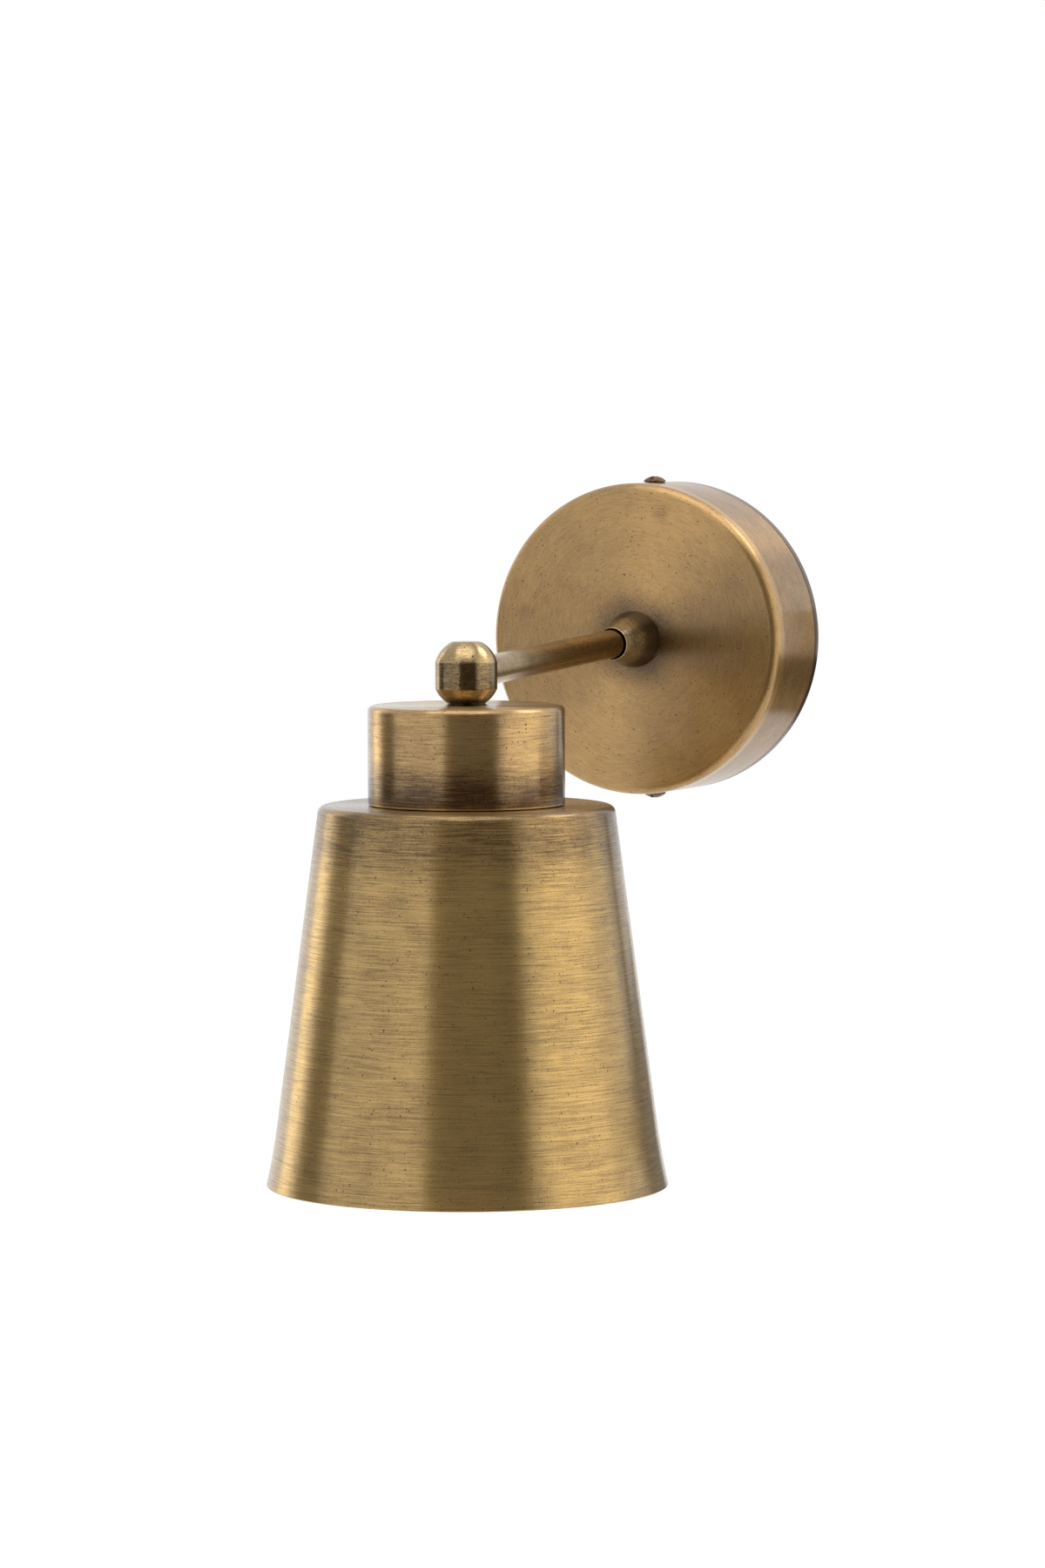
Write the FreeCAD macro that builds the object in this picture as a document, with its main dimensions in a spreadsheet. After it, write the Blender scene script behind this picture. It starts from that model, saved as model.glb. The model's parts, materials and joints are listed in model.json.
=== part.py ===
import FreeCAD, Part

import math
import os
import re

import Sketcher
from FreeCAD import Placement, Rotation, Vector

# Wall light with a hanging cone shade, in millimetres.
# Origin: centre of the round wall box, on the wall. +Z is up, the wall is the plane Y = 0, the lamp
# stands out towards -Y. A short tube leaves the box through a conical collar and falls slightly. A ball
# knuckle turns the run downwards, and a cup, a lampholder and the shade hang below it.

SIZES = {
    # round box on the wall
    "canopy_radius": 55.0,
    "canopy_depth": 38.0,
    "canopy_wall": 1.2,
    "canopy_edge_radius": 3.2,
    "canopy_hole_gap": 0.6,
    "lip_width": 3.2,
    "lip_groove": 0.3,
    # strap on the wall and the two screws that hold the box on it
    "strap_width": 18.0,
    "strap_wall": 2.0,
    "strap_bend_radius": 3.2,
    "strap_clearance": 0.4,
    "slot_spacing": 76.0,
    "slot_length": 12.0,
    "slot_radius": 2.5,
    "cable_hole_radius": 6.0,
    "side_screw_height": 19.5,
    "side_screw_radius": 2.0,
    "side_screw_length": 9.0,
    "side_head_radius": 3.9,
    "side_head_height": 2.2,
    "tab_margin": 5.5,
    "screw_grip": 1.8,
    # terminal block and earth screw on the strap
    "block_drop": 20.0,
    "block_width": 24.0,
    "block_length": 18.0,
    "block_height": 12.0,
    "pole_pitch": 8.0,
    "clamp_radius": 2.5,
    "clamp_bore_radius": 1.7,
    "clamp_length": 15.0,
    "clamp_screw_radius": 1.4,
    "clamp_screw_offset": 4.5,
    "clamp_screw_length": 3.5,
    "clamp_slot_width": 0.6,
    "clamp_slot_depth": 0.9,
    "fixing_screw_radius": 1.5,
    "fixing_head_radius": 2.6,
    "fixing_head_height": 1.6,
    "earth_screw_rise": 18.0,
    "earth_screw_radius": 2.0,
    "earth_head_radius": 3.6,
    "earth_head_height": 2.2,
    "tag_radius": 4.4,
    "tag_wall": 0.8,
    "tag_tongue": 4.0,
    "tag_tongue_width": 3.0,
    # arm
    "arm_droop": 2.7,
    "arm_reach": 135.9,
    "tube_radius": 5.0,
    "tube_wall": 1.0,
    "tube_tail": 15.0,
    "tube_seat_gap": 1.0,
    "collar_length": 18.6,
    "collar_base_radius": 9.9,
    "collar_land": 1.4,
    "collar_edge_radius": 1.25,
    "collar_trim": 0.2,
    "collar_mouth_gap": 0.4,
    "collar_mouth_rim": 0.35,
    "collar_mouth_depth": 7.0,
    "nut_width": 14.0,
    "nut_height": 3.0,
    "lock_washer_radius": 8.5,
    "lock_washer_wall": 0.9,
    # ball knuckle, its heights counted from the middle of its flat band
    "band_radius": 10.35,
    "band_height": 8.8,
    "ball_top": 11.2,
    "ball_top_flat": 4.9,
    "ball_top_arc": 10.8,
    "ball_drop": 9.2,
    "ball_bottom_flat": 6.4,
    "ball_bottom_arc": 11.0,
    "knuckle_seat": 6.2,
    # neck and cup
    "neck_gap": 0.1,
    "neck_height": 0.7,
    "neck_top_radius": 6.3,
    "neck_foot_radius": 8.3,
    "neck_curve": 2.0,
    "nipple_length": 14.2,
    "cup_radius": 32.8,
    "cup_height": 32.9,
    "cup_wall": 1.0,
    "cup_edge_radius": 1.8,
    "cup_seam": 0.3,
    # shade, its cone given by the radii at its top plane and at its rim before the flare
    "shade_top_radius": 49.3,
    "shade_rim_radius": 66.2,
    "shade_height": 126.9,
    "shade_wall": 1.0,
    "shade_edge_radius": 2.5,
    "shade_flare": 0.9,
    "shade_flare_height": 20.0,
    # screw-base lampholder
    "holder_wall": 2.0,
    "holder_skirt": 25.0,
    "holder_flange_width": 3.9,
    "holder_flange_height": 2.0,
    "cap_height": 20.0,
    "cap_wall": 1.8,
    "cap_shoulder": 7.0,
    "cap_boss_radius": 8.0,
    "cap_boss_height": 3.6,
    "cap_lap": 8.0,
    "grub_radius": 1.0,
    "grub_length": 5.0,
    "core_height": 12.0,
    "core_rim": 0.5,
    "shell_bore_radius": 13.3,
    "shell_neck_radius": 12.6,
    "shell_wall": 0.4,
    "shell_length": 25.0,
    "shell_gap": 1.2,
    "shell_flange_width": 1.5,
    "ring_hub_wall": 3.35,
    "ring_height": 9.0,
    "ring_flange_width": 4.5,
    "ring_flange_height": 2.2,
    "contact_radius": 2.4,
    "contact_collar_radius": 3.6,
    "contact_collar_height": 1.0,
    "contact_reach": 4.0,
    "contact_shoulder": 4.0,
    "contact_chamfer": 0.6,
    "neutral_pin_radius": 0.8,
    "spring_radius": 3.2,
    "spring_wall": 0.7,
    "holder_terminal_size": 5.0,
    "holder_terminal_offset": 9.5,
    "holder_screw_radius": 1.4,
    "holder_screw_head_radius": 2.1,
    "holder_screw_head_height": 1.0,
    "bridge_wall": 0.8,
    "bridge_width": 4.0,
    # leads
    "lead_radius": 1.1,
    "lead_offset": 1.35,
    "lead_bend": 7.0,
    "lead_margin": 1.0,
    # small edges
    "tube_chamfer": 0.4,
    "screw_chamfer": 0.3,
    "least_round": 0.2,
    # clearances
    "thread_clearance": 0.05,
    "fit_clearance": 0.3,
    "contact_clearance": 0.05,
}

# Shares of a slotted screw's head: the straight rim's height, the slot's depth and the slot's width,
# the last of the head's radius.
HEAD_RIM = 0.3
SLOT_DEPTH = 0.5
SLOT_WIDTH = 0.26

doc = FreeCAD.newDocument("wall_light")
sheet = doc.addObject("Spreadsheet::Sheet", "Sizes")
nodes = {}


def fill_sheet():
    """Write every driving dimension into the sheet, one row each."""
    for row, (alias, number) in enumerate(SIZES.items(), 1):
        sheet.set(f"A{row}", alias)
        sheet.set(f"B{row}", str(number))
        sheet.setAlias(f"B{row}", alias)
    doc.recompute()


def linked(text):
    """Turn the names of sizes in an expression into references to the sheet."""
    return re.sub(r"\b[a-z]+(?:_[a-z]+)+\b", r"Sizes.\g<0>", str(text))


def number(text):
    """Value of an expression at the present sizes."""
    return float(sheet.evalExpression(linked(text)))


def bind(target, path, text):
    """Tie a property of an object to an expression."""
    target.setExpression(path, linked(text))


# Places that pieces are built in. Each gives the origin's Y and Z and the turn about X in degrees.
HEAD_Y = "-(canopy_depth + arm_reach * cos(arm_droop))"
HEAD_Z = "-arm_reach * sin(arm_droop)"
WALL = ("0", "0", "0")
OUTWARDS = ("0", "0", "90")
ARM = ("-canopy_depth", "0", "90 + arm_droop")
HEAD = (HEAD_Y, HEAD_Z, "0")


def place(piece, frame, across="0"):
    """Put a piece in one of the places above, moved along X by the expression across."""
    along, height, turn = frame
    piece.Placement = Placement(Vector(0, 0, 0), Rotation(Vector(1, 0, 0), number(turn)))
    bind(piece, "Placement.Base.x", across)
    bind(piece, "Placement.Base.y", along)
    bind(piece, "Placement.Base.z", height)
    bind(piece, "Placement.Rotation.Angle", turn)
    return piece


def keep(piece, label):
    """Name a finished piece and list it for export."""
    piece.Label = label
    nodes[label] = piece
    return piece


def new_body(name):
    """Empty body that may hold several separate solids."""
    body = doc.addObject("PartDesign::Body", name)
    body.AllowCompound = True
    return body


def new_sketch(body, name, role, lift="0"):
    """Sketch on one of the body's own origin planes, lifted off it by an expression."""
    plane = next(item for item in body.Origin.OriginFeatures if item.Role == role)
    sketch = body.newObject("Sketcher::SketchObject", name)
    sketch.AttachmentSupport = [(plane, "")]
    sketch.MapMode = "FlatFace"
    if lift != "0":
        bind(sketch, "AttachmentOffset.Base.z", lift)
    return sketch


def pin(sketch, edge, end, x, y):
    """Hold one end of an edge, or a circle's centre, at a point given by two expressions."""
    for kind, text in (("DistanceX", x), ("DistanceY", y)):
        index = sketch.addConstraint(Sketcher.Constraint(kind, -1, 1, edge, end, number(text)))
        bind(sketch, f"Constraints[{index}]", text)


def arc_between(start, finish, radius):
    """Arc under half a turn; it bulges to the right of the travel if the radius is positive."""
    chord = finish - start
    rise = math.sqrt(radius * radius - chord.Length * chord.Length / 4.0)
    left = Vector(-chord.y, chord.x, 0).normalize()
    side = math.copysign(1.0, radius)
    centre = (start + finish) * 0.5 + left * rise * side
    circle = Part.Circle(centre, Vector(0, 0, 1), abs(radius))
    first, last = (start, finish) if side > 0 else (finish, start)
    return Part.ArcOfCircle(circle, circle.parameter(first), circle.parameter(last))


def outline(sketch, corners):
    """Closed outline through corners (x, y), or (x, y, radius) where an arc leads to the corner."""
    points = [Vector(number(corner[0]), number(corner[1]), 0) for corner in corners]
    edges = []
    for index, corner in enumerate(corners):
        start, finish = points[index - 1], points[index]
        if len(corner) == 2:
            edge = sketch.addGeometry(Part.LineSegment(start, finish), False)
            edges.append((edge, 1, 2))
            continue
        radius = number(corner[2])
        edge = sketch.addGeometry(arc_between(start, finish, radius), False)
        edges.append((edge, 1, 2) if radius > 0 else (edge, 2, 1))
        limit = sketch.addConstraint(Sketcher.Constraint("Radius", edge, abs(radius)))
        bind(sketch, f"Constraints[{limit}]", f"abs({corner[2]})")
    for index, (edge, first, last) in enumerate(edges):
        following = edges[(index + 1) % len(edges)]
        sketch.addConstraint(Sketcher.Constraint("Coincident", edge, last, following[0], following[1]))
        pin(sketch, edge, last, corners[index][0], corners[index][1])


def circles(sketch, rows):
    """Circles (x, y, radius), all given by expressions."""
    for x, y, radius in rows:
        centre = Vector(number(x), number(y), 0)
        edge = sketch.addGeometry(Part.Circle(centre, Vector(0, 0, 1), number(radius)), False)
        pin(sketch, edge, 3, x, y)
        limit = sketch.addConstraint(Sketcher.Constraint("Radius", edge, number(radius)))
        bind(sketch, f"Constraints[{limit}]", radius)


def slots(sketch, rows):
    """Upright slots (x, y, radius, length), the length from end to end."""
    for x, y, radius, length in rows:
        top = f"({y}) + ({length}) / 2 - ({radius})"
        bottom = f"({y}) - ({length}) / 2 + ({radius})"
        right = f"({x}) + ({radius})"
        left = f"({x}) - ({radius})"
        middle = f"({y}) + ({length}) / 2"
        foot = f"({y}) - ({length}) / 2"
        outline(sketch, [
            (right, bottom, radius), (right, top), (x, middle, radius), (left, top, radius),
            (left, bottom), (x, foot, radius),
        ])


def rectangle(sketch, x, y, width, height):
    """Rectangle about the point x, y."""
    right, left = f"({x}) + ({width}) / 2", f"({x}) - ({width}) / 2"
    top, bottom = f"({y}) + ({height}) / 2", f"({y}) - ({height}) / 2"
    outline(sketch, [(left, bottom), (right, bottom), (right, top), (left, top)])


def turned(name, corners):
    """Body turned about its Z axis from an outline in radius and height."""
    body = new_body(name)
    sketch = new_sketch(body, name + "_outline", "XZ_Plane")
    outline(sketch, corners)
    feature = body.newObject("PartDesign::Revolution", name + "_turned")
    feature.Profile = (sketch, [""])
    feature.ReferenceAxis = (sketch, ["V_Axis"])
    feature.Angle = 360
    doc.recompute()
    return body


def pad(body, sketch, length, midplane=False):
    """Pad a sketch by an expression, away from its plane or to both sides of it."""
    feature = body.newObject("PartDesign::Pad", sketch.Name + "_pad")
    feature.Profile = (sketch, [""])
    feature.Midplane = midplane
    bind(feature, "Length", length)
    doc.recompute()
    return feature


def cut(body, sketch, length=None, midplane=False, forwards=False):
    """Pocket a sketch through everything, or to a depth, and make sure that it removed material."""
    before = body.Shape.Volume
    feature = body.newObject("PartDesign::Pocket", sketch.Name + "_cut")
    feature.Profile = (sketch, [""])
    feature.Midplane = midplane
    feature.Reversed = forwards
    if length is None:
        feature.Type = "ThroughAll"
    else:
        bind(feature, "Length", length)
    doc.recompute()
    if body.Shape.Volume >= before - 1e-6:
        raise ValueError(f"{sketch.Name} removed nothing")
    return feature


def round_rings(body, rings):
    """Fillet ring edges, each given as (ring radius, height, fillet radius)."""
    for index, (radius, height, fillet) in enumerate(rings):
        base = body.Tip
        ring, level = number(radius), number(height)
        names = [
            f"Edge{count}"
            for count, edge in enumerate(base.Shape.Edges, 1)
            if isinstance(edge.Curve, Part.Circle)
            and abs(edge.Curve.Radius - ring) < 0.01
            and abs(edge.Curve.Center.z - level) < 0.01
        ]
        feature = body.newObject("PartDesign::Fillet", f"{body.Name}_round{index}")
        feature.Base = (base, names)
        bind(feature, "Radius", fillet)
        doc.recompute()


def subtract(label, base, tool):
    """Boolean cut of two objects, kept as a named piece."""
    piece = doc.addObject("Part::Cut", label + "_cut")
    piece.Base = base
    piece.Tool = tool
    doc.recompute()
    return keep(piece, label)


# ---- round box and strap on the wall ----

TAB_HEIGHT = "sqrt((canopy_radius - canopy_wall)^2 - strap_width^2 / 4) - strap_clearance"
TAB_LENGTH = "side_screw_height + tab_margin"


def make_canopy():
    """Pressed round box, open at the wall, with a lip line near its back edge."""
    body = turned("Canopy", [
        ("canopy_radius", "0"),
        ("canopy_radius", "lip_width"),
        ("canopy_radius - lip_groove", "lip_width + lip_groove"),
        ("canopy_radius", "lip_width + 2 * lip_groove"),
        ("canopy_radius", "canopy_depth"),
        ("tube_radius + canopy_hole_gap", "canopy_depth"),
        ("tube_radius + canopy_hole_gap", "canopy_depth - canopy_wall"),
        ("canopy_radius - canopy_wall", "canopy_depth - canopy_wall"),
        ("canopy_radius - canopy_wall", "0"),
    ])
    round_rings(body, [
        ("canopy_radius", "canopy_depth", "canopy_edge_radius"),
        ("canopy_radius - canopy_wall", "canopy_depth - canopy_wall",
         "max(canopy_edge_radius - canopy_wall; least_round)"),
    ])
    holes = new_sketch(body, "canopy_side_holes", "XZ_Plane")
    circles(holes, [("0", "side_screw_height", "side_screw_radius + fit_clearance / 2")])
    cut(body, holes, midplane=True)
    keep(place(body, OUTWARDS), "canopy")


def make_wall_bracket():
    """Bent steel strap with a tapped tab at each end, two wall slots and a cable hole."""
    body = new_body("Bracket")
    side = new_sketch(body, "bracket_side", "YZ_Plane")
    inner = "(strap_bend_radius - strap_wall)"
    high, low = f"({TAB_HEIGHT})", f"(-({TAB_HEIGHT}))"
    outline(side, [
        ("0", f"{high} - strap_bend_radius"),
        ("-strap_bend_radius", high, "strap_bend_radius"),
        (f"-({TAB_LENGTH})", high),
        (f"-({TAB_LENGTH})", f"{high} - strap_wall"),
        ("-strap_bend_radius", f"{high} - strap_wall"),
        ("-strap_wall", f"{high} - strap_bend_radius", f"-{inner}"),
        ("-strap_wall", f"{low} + strap_bend_radius"),
        ("-strap_bend_radius", f"{low} + strap_wall", f"-{inner}"),
        (f"-({TAB_LENGTH})", f"{low} + strap_wall"),
        (f"-({TAB_LENGTH})", low),
        ("-strap_bend_radius", low),
        ("0", f"{low} + strap_bend_radius", "strap_bend_radius"),
    ])
    pad(body, side, "strap_width", midplane=True)
    face = new_sketch(body, "bracket_holes", "XZ_Plane")
    circles(face, [
        ("0", "0", "cable_hole_radius"),
        ("0", "earth_screw_rise", "earth_screw_radius + thread_clearance"),
        ("pole_pitch / 2", "-block_drop", "fixing_screw_radius + thread_clearance"),
    ])
    slots(face, [
        ("0", "slot_spacing / 2", "slot_radius", "slot_length"),
        ("0", "-slot_spacing / 2", "slot_radius", "slot_length"),
    ])
    cut(body, face, midplane=True)
    tapped = new_sketch(body, "bracket_tapped_holes", "XY_Plane")
    circles(tapped, [("0", "-side_screw_height", "side_screw_radius + thread_clearance")])
    cut(body, tapped, midplane=True)
    keep(place(body, WALL), "wall_bracket")


def slotted_screw(name, radius, length, head_radius, head_height):
    """Slotted domed screw along +Z, its head's underside at height 0."""
    rise = f"(({head_height}) * (1 - {HEAD_RIM}))"
    dome = f"((({head_radius})^2 + {rise}^2) / (2 * {rise}))"
    body = turned(name, [
        ("0", head_height, dome),
        ("0", f"-({length})"),
        (f"({radius}) - screw_chamfer", f"-({length})"),
        (radius, f"-({length}) + screw_chamfer"),
        (radius, "0"),
        (head_radius, "0"),
        (head_radius, f"({head_height}) * {HEAD_RIM}"),
    ])
    slot = new_sketch(body, name + "_slot", "XY_Plane", f"({head_height}) * (1 - {SLOT_DEPTH})")
    rectangle(slot, "0", "0", f"3 * ({head_radius})", f"({head_radius}) * {SLOT_WIDTH}")
    cut(body, slot, forwards=True)
    return body


def make_side_screws():
    """Two slotted screws that hold the box to the strap, one above and one below."""
    for label, sign, turn in (("canopy_screw_top", "", "0"), ("canopy_screw_bottom", "-", "180")):
        body = slotted_screw(
            label.title(), "side_screw_radius", "side_screw_length", "side_head_radius", "side_head_height"
        )
        height = f"{sign}(canopy_radius + thread_clearance)"
        keep(place(body, ("-side_screw_height", height, turn)), label)


# ---- terminal block and earth screw ----

BLOCK = ("-strap_wall", "-block_drop", "90")
BORE_HEIGHT = "(block_height / 2)"
POLES = ("-pole_pitch", "0", "pole_pitch")
SCREW_ROWS = ("-clamp_screw_offset", "clamp_screw_offset")


def pole_circles(radius):
    """One circle at each of the six clamping screws."""
    return [(pole, row, radius) for pole in POLES for row in SCREW_ROWS]


def make_terminal_block():
    """Three-pole block with wire bores along its length and screw wells in its front."""
    body = new_body("Block")
    base = new_sketch(body, "block_base", "XY_Plane")
    rectangle(base, "0", "0", "block_width", "block_length")
    pad(body, base, "block_height")
    bores = new_sketch(body, "block_bores", "XZ_Plane")
    circles(bores, [(pole, BORE_HEIGHT, "clamp_radius + contact_clearance") for pole in POLES])
    cut(body, bores, midplane=True)
    wells = new_sketch(body, "block_wells", "XY_Plane", BORE_HEIGHT)
    circles(wells, pole_circles("clamp_screw_radius + fit_clearance"))
    cut(body, wells, forwards=True)
    fixing = new_sketch(body, "block_fixing", "XY_Plane")
    circles(fixing, [("pole_pitch / 2", "0", "fixing_screw_radius + contact_clearance")])
    cut(body, fixing, forwards=True)
    keep(place(body, BLOCK), "terminal_block")


def make_terminal_clamps():
    """Three brass tubes in the block, each tapped for two screws."""
    body = new_body("Clamps")
    ends = new_sketch(body, "clamp_ends", "XZ_Plane")
    circles(ends, [(pole, BORE_HEIGHT, "clamp_radius") for pole in POLES])
    circles(ends, [(pole, BORE_HEIGHT, "clamp_bore_radius") for pole in POLES])
    pad(body, ends, "clamp_length", midplane=True)
    taps = new_sketch(body, "clamp_taps", "XY_Plane", BORE_HEIGHT)
    circles(taps, pole_circles("clamp_screw_radius + contact_clearance"))
    cut(body, taps, forwards=True)
    keep(place(body, BLOCK), "terminal_clamps")


CLAMP_SCREW_TIP = f"({BORE_HEIGHT} + lead_radius + contact_clearance)"


def make_terminal_screws():
    """Six headless clamping screws, their tips just clear of the wires."""
    body = new_body("ClampScrews")
    tips = new_sketch(body, "clamp_screw_tips", "XY_Plane", CLAMP_SCREW_TIP)
    circles(tips, pole_circles("clamp_screw_radius"))
    pad(body, tips, "clamp_screw_length")
    floor = f"{CLAMP_SCREW_TIP} + clamp_screw_length - clamp_slot_depth"
    grooves = new_sketch(body, "clamp_screw_slots", "XY_Plane", floor)
    for pole in POLES:
        for row in SCREW_ROWS:
            rectangle(grooves, pole, row, "clamp_slot_width", "3 * clamp_screw_radius")
    cut(body, grooves, forwards=True)
    keep(place(body, BLOCK), "terminal_screws")


def make_strap_screws():
    """Screw that holds the block, and the earth screw with its tag."""
    fixing = slotted_screw(
        "FixingScrew", "fixing_screw_radius", "block_height + screw_grip",
        "fixing_head_radius", "fixing_head_height",
    )
    seat = ("-(strap_wall + block_height)", "-block_drop", "90")
    keep(place(fixing, seat, across="pole_pitch / 2"), "terminal_fixing_screw")
    earth = slotted_screw(
        "EarthScrew", "earth_screw_radius", "tag_wall + screw_grip",
        "earth_head_radius", "earth_head_height",
    )
    keep(place(earth, ("-(strap_wall + tag_wall)", "earth_screw_rise", "90")), "earth_screw")


def make_earth_tag():
    """Flat ring tag under the earth screw, with a tongue that takes the earth wire."""
    body = new_body("EarthTag")
    ring = new_sketch(body, "tag_ring", "XY_Plane")
    circles(ring, [("0", "0", "tag_radius"), ("0", "0", "earth_screw_radius + fit_clearance / 2")])
    pad(body, ring, "tag_wall")
    tongue = new_sketch(body, "tag_tongue", "XY_Plane")
    root = "(tag_radius + earth_screw_radius + fit_clearance) / 2"
    tip = "tag_radius + tag_tongue"
    rectangle(tongue, f"({root} + {tip}) / 2", "0", f"{tip} - {root}", "tag_tongue_width")
    pad(body, tongue, "tag_wall")
    keep(place(body, ("-strap_wall", "earth_screw_rise", "90")), "earth_tag")


# ---- arm ----

def hexagon(width):
    """Corners of a hexagon, from its width across flats."""
    across = f"(({width}) / 2 / cos(30))"
    return [(f"{across} * cos({60 * step})", f"{across} * sin({60 * step})") for step in range(6)]


def hex_nut(name, width, height, bore):
    """Plain hexagon nut standing on its XY plane."""
    body = new_body(name)
    flats = new_sketch(body, name + "_flats", "XY_Plane")
    outline(flats, hexagon(width))
    circles(flats, [("0", "0", bore)])
    pad(body, flats, height)
    return body


THREAD_BORE = "tube_radius + thread_clearance"
TUBE_SEAT = "(tube_radius + tube_seat_gap)"


def make_arm_tube():
    """Brass tube from inside the box to the ball, its ends slightly chamfered."""
    bore = "tube_radius - tube_wall"
    far = f"arm_reach - {TUBE_SEAT}"
    body = turned("ArmTube", [
        (bore, "-tube_tail"),
        ("tube_radius - tube_chamfer", "-tube_tail"),
        ("tube_radius", "-tube_tail + tube_chamfer"),
        ("tube_radius", f"{far} - tube_chamfer"),
        ("tube_radius - tube_chamfer", far),
        (bore, far),
    ])
    keep(place(body, ARM), "arm_tube")


def make_arm_collar():
    """Conical turned collar on the tube's thread, its foot cut flush with the face of the box."""
    foot = "-(collar_base_radius * tan(arm_droop) + collar_trim)"
    relief = "tube_radius + collar_mouth_gap"
    body = turned("Collar", [
        (THREAD_BORE, foot),
        ("collar_base_radius", foot),
        ("collar_base_radius", "collar_land"),
        (f"{relief} + collar_mouth_rim", "collar_length"),
        (relief, "collar_length"),
        (relief, "collar_length - collar_mouth_depth"),
        (THREAD_BORE, "collar_length - collar_mouth_depth"),
    ])
    round_rings(body, [("collar_base_radius", "collar_land", "collar_edge_radius")])
    place(body, ARM)
    behind = doc.addObject("Part::Cylinder", "CollarTrim")
    bind(behind, "Radius", "collar_base_radius * 2")
    bind(behind, "Height", "canopy_depth / 2")
    place(behind, ("-canopy_depth", "0", "-90"))
    subtract("arm_collar", body, behind)


def make_arm_fixings():
    """Washer and thin nut that clamp the tube to the inside of the box."""
    lean = "lock_washer_radius * sin(arm_droop)"
    seat = f"-(canopy_wall + {lean} + lock_washer_wall)"
    washer = turned("LockWasher", [
        (THREAD_BORE, seat),
        ("lock_washer_radius", seat),
        ("lock_washer_radius", f"{seat} + lock_washer_wall"),
        (THREAD_BORE, f"{seat} + lock_washer_wall"),
    ])
    keep(place(washer, ARM), "arm_washer")
    nut = hex_nut("ArmNut", "nut_width", "nut_height", THREAD_BORE)
    drop = f"({seat} - nut_height)"
    along = f"-canopy_depth - {drop} * cos(arm_droop)"
    height = f"-{drop} * sin(arm_droop)"
    keep(place(nut, (along, height, "90 + arm_droop")), "arm_nut")


def make_ball_knuckle():
    """Turned ball with a flat band, bored from below for the nipple and from the side for the tube."""
    passage = "tube_radius - tube_wall"
    top_of_bore = "tube_radius - tube_wall / 2"
    body = turned("Ball", [
        ("0", "ball_top"),
        ("0", top_of_bore),
        (passage, top_of_bore),
        (passage, "knuckle_seat - ball_drop"),
        (THREAD_BORE, "knuckle_seat - ball_drop"),
        (THREAD_BORE, "-ball_drop"),
        ("ball_bottom_flat", "-ball_drop"),
        ("band_radius", "-band_height / 2", "ball_bottom_arc"),
        ("band_radius", "band_height / 2"),
        ("ball_top_flat", "ball_top", "ball_top_arc"),
    ])
    place(body, HEAD)
    bore = doc.addObject("Part::Cylinder", "BallSideBore")
    bind(bore, "Radius", THREAD_BORE)
    bind(bore, "Height", "band_radius * 2")
    seat = f"({TUBE_SEAT} - thread_clearance)"
    along = f"{HEAD_Y} + {seat} * cos(arm_droop)"
    height = f"{HEAD_Z} + {seat} * sin(arm_droop)"
    place(bore, (along, height, "arm_droop - 90"))
    channel = doc.addObject("Part::Cylinder", "BallSidePassage")
    bind(channel, "Radius", passage)
    bind(channel, "Height", "band_radius")
    place(channel, (HEAD_Y, HEAD_Z, "arm_droop - 90"))
    bores = doc.addObject("Part::Fuse", "BallBores")
    bores.Base = bore
    bores.Tool = channel
    subtract("ball_knuckle", body, bores)


# ---- neck, nipple and cup; heights are counted from the ball's middle ----

NECK_TOP = "(-ball_drop - neck_gap)"
CUP_TOP = "(-ball_drop - neck_gap - neck_height)"
SHADE_TOP = f"({CUP_TOP} - cup_height - cup_seam)"
NIPPLE_TOP = "(knuckle_seat - ball_drop - fit_clearance)"
CAP_TOP = f"({CUP_TOP} - cup_wall - nut_height - contact_clearance)"


def make_neck_washer():
    """Small flared washer between the ball and the cup."""
    body = turned("NeckWasher", [
        (THREAD_BORE, NECK_TOP),
        (THREAD_BORE, CUP_TOP),
        ("neck_foot_radius", CUP_TOP),
        ("neck_top_radius", NECK_TOP, "-neck_curve"),
    ])
    keep(place(body, HEAD), "neck_washer")


def make_nipple():
    """Threaded tube that carries the head; it turns in the ball's thread."""
    low = f"{NIPPLE_TOP} - nipple_length"
    bore = "tube_radius - tube_wall"
    body = turned("Nipple", [
        (bore, low), ("tube_radius", low), ("tube_radius", NIPPLE_TOP), (bore, NIPPLE_TOP),
    ])
    keep(place(body, HEAD), "nipple")


def make_cup():
    """Pressed cup that covers the lampholder, its open edge just above the shade."""
    low = f"{SHADE_TOP} + cup_seam"
    body = turned("Cup", [
        (THREAD_BORE, CUP_TOP),
        (THREAD_BORE, f"{CUP_TOP} - cup_wall"),
        ("cup_radius - cup_wall", f"{CUP_TOP} - cup_wall"),
        ("cup_radius - cup_wall", low),
        ("cup_radius", low),
        ("cup_radius", CUP_TOP),
    ])
    round_rings(body, [
        ("cup_radius", CUP_TOP, "cup_edge_radius"),
        ("cup_radius - cup_wall", f"{CUP_TOP} - cup_wall", "max(cup_edge_radius - cup_wall; least_round)"),
    ])
    keep(place(body, HEAD), "cup")
    nut = hex_nut("CupNut", "nut_width", "nut_height", THREAD_BORE)
    place(nut, (HEAD_Y, f"{HEAD_Z} + {CUP_TOP} - cup_wall - nut_height", "0"))
    keep(nut, "cup_nut")


# ---- shade ----

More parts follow.
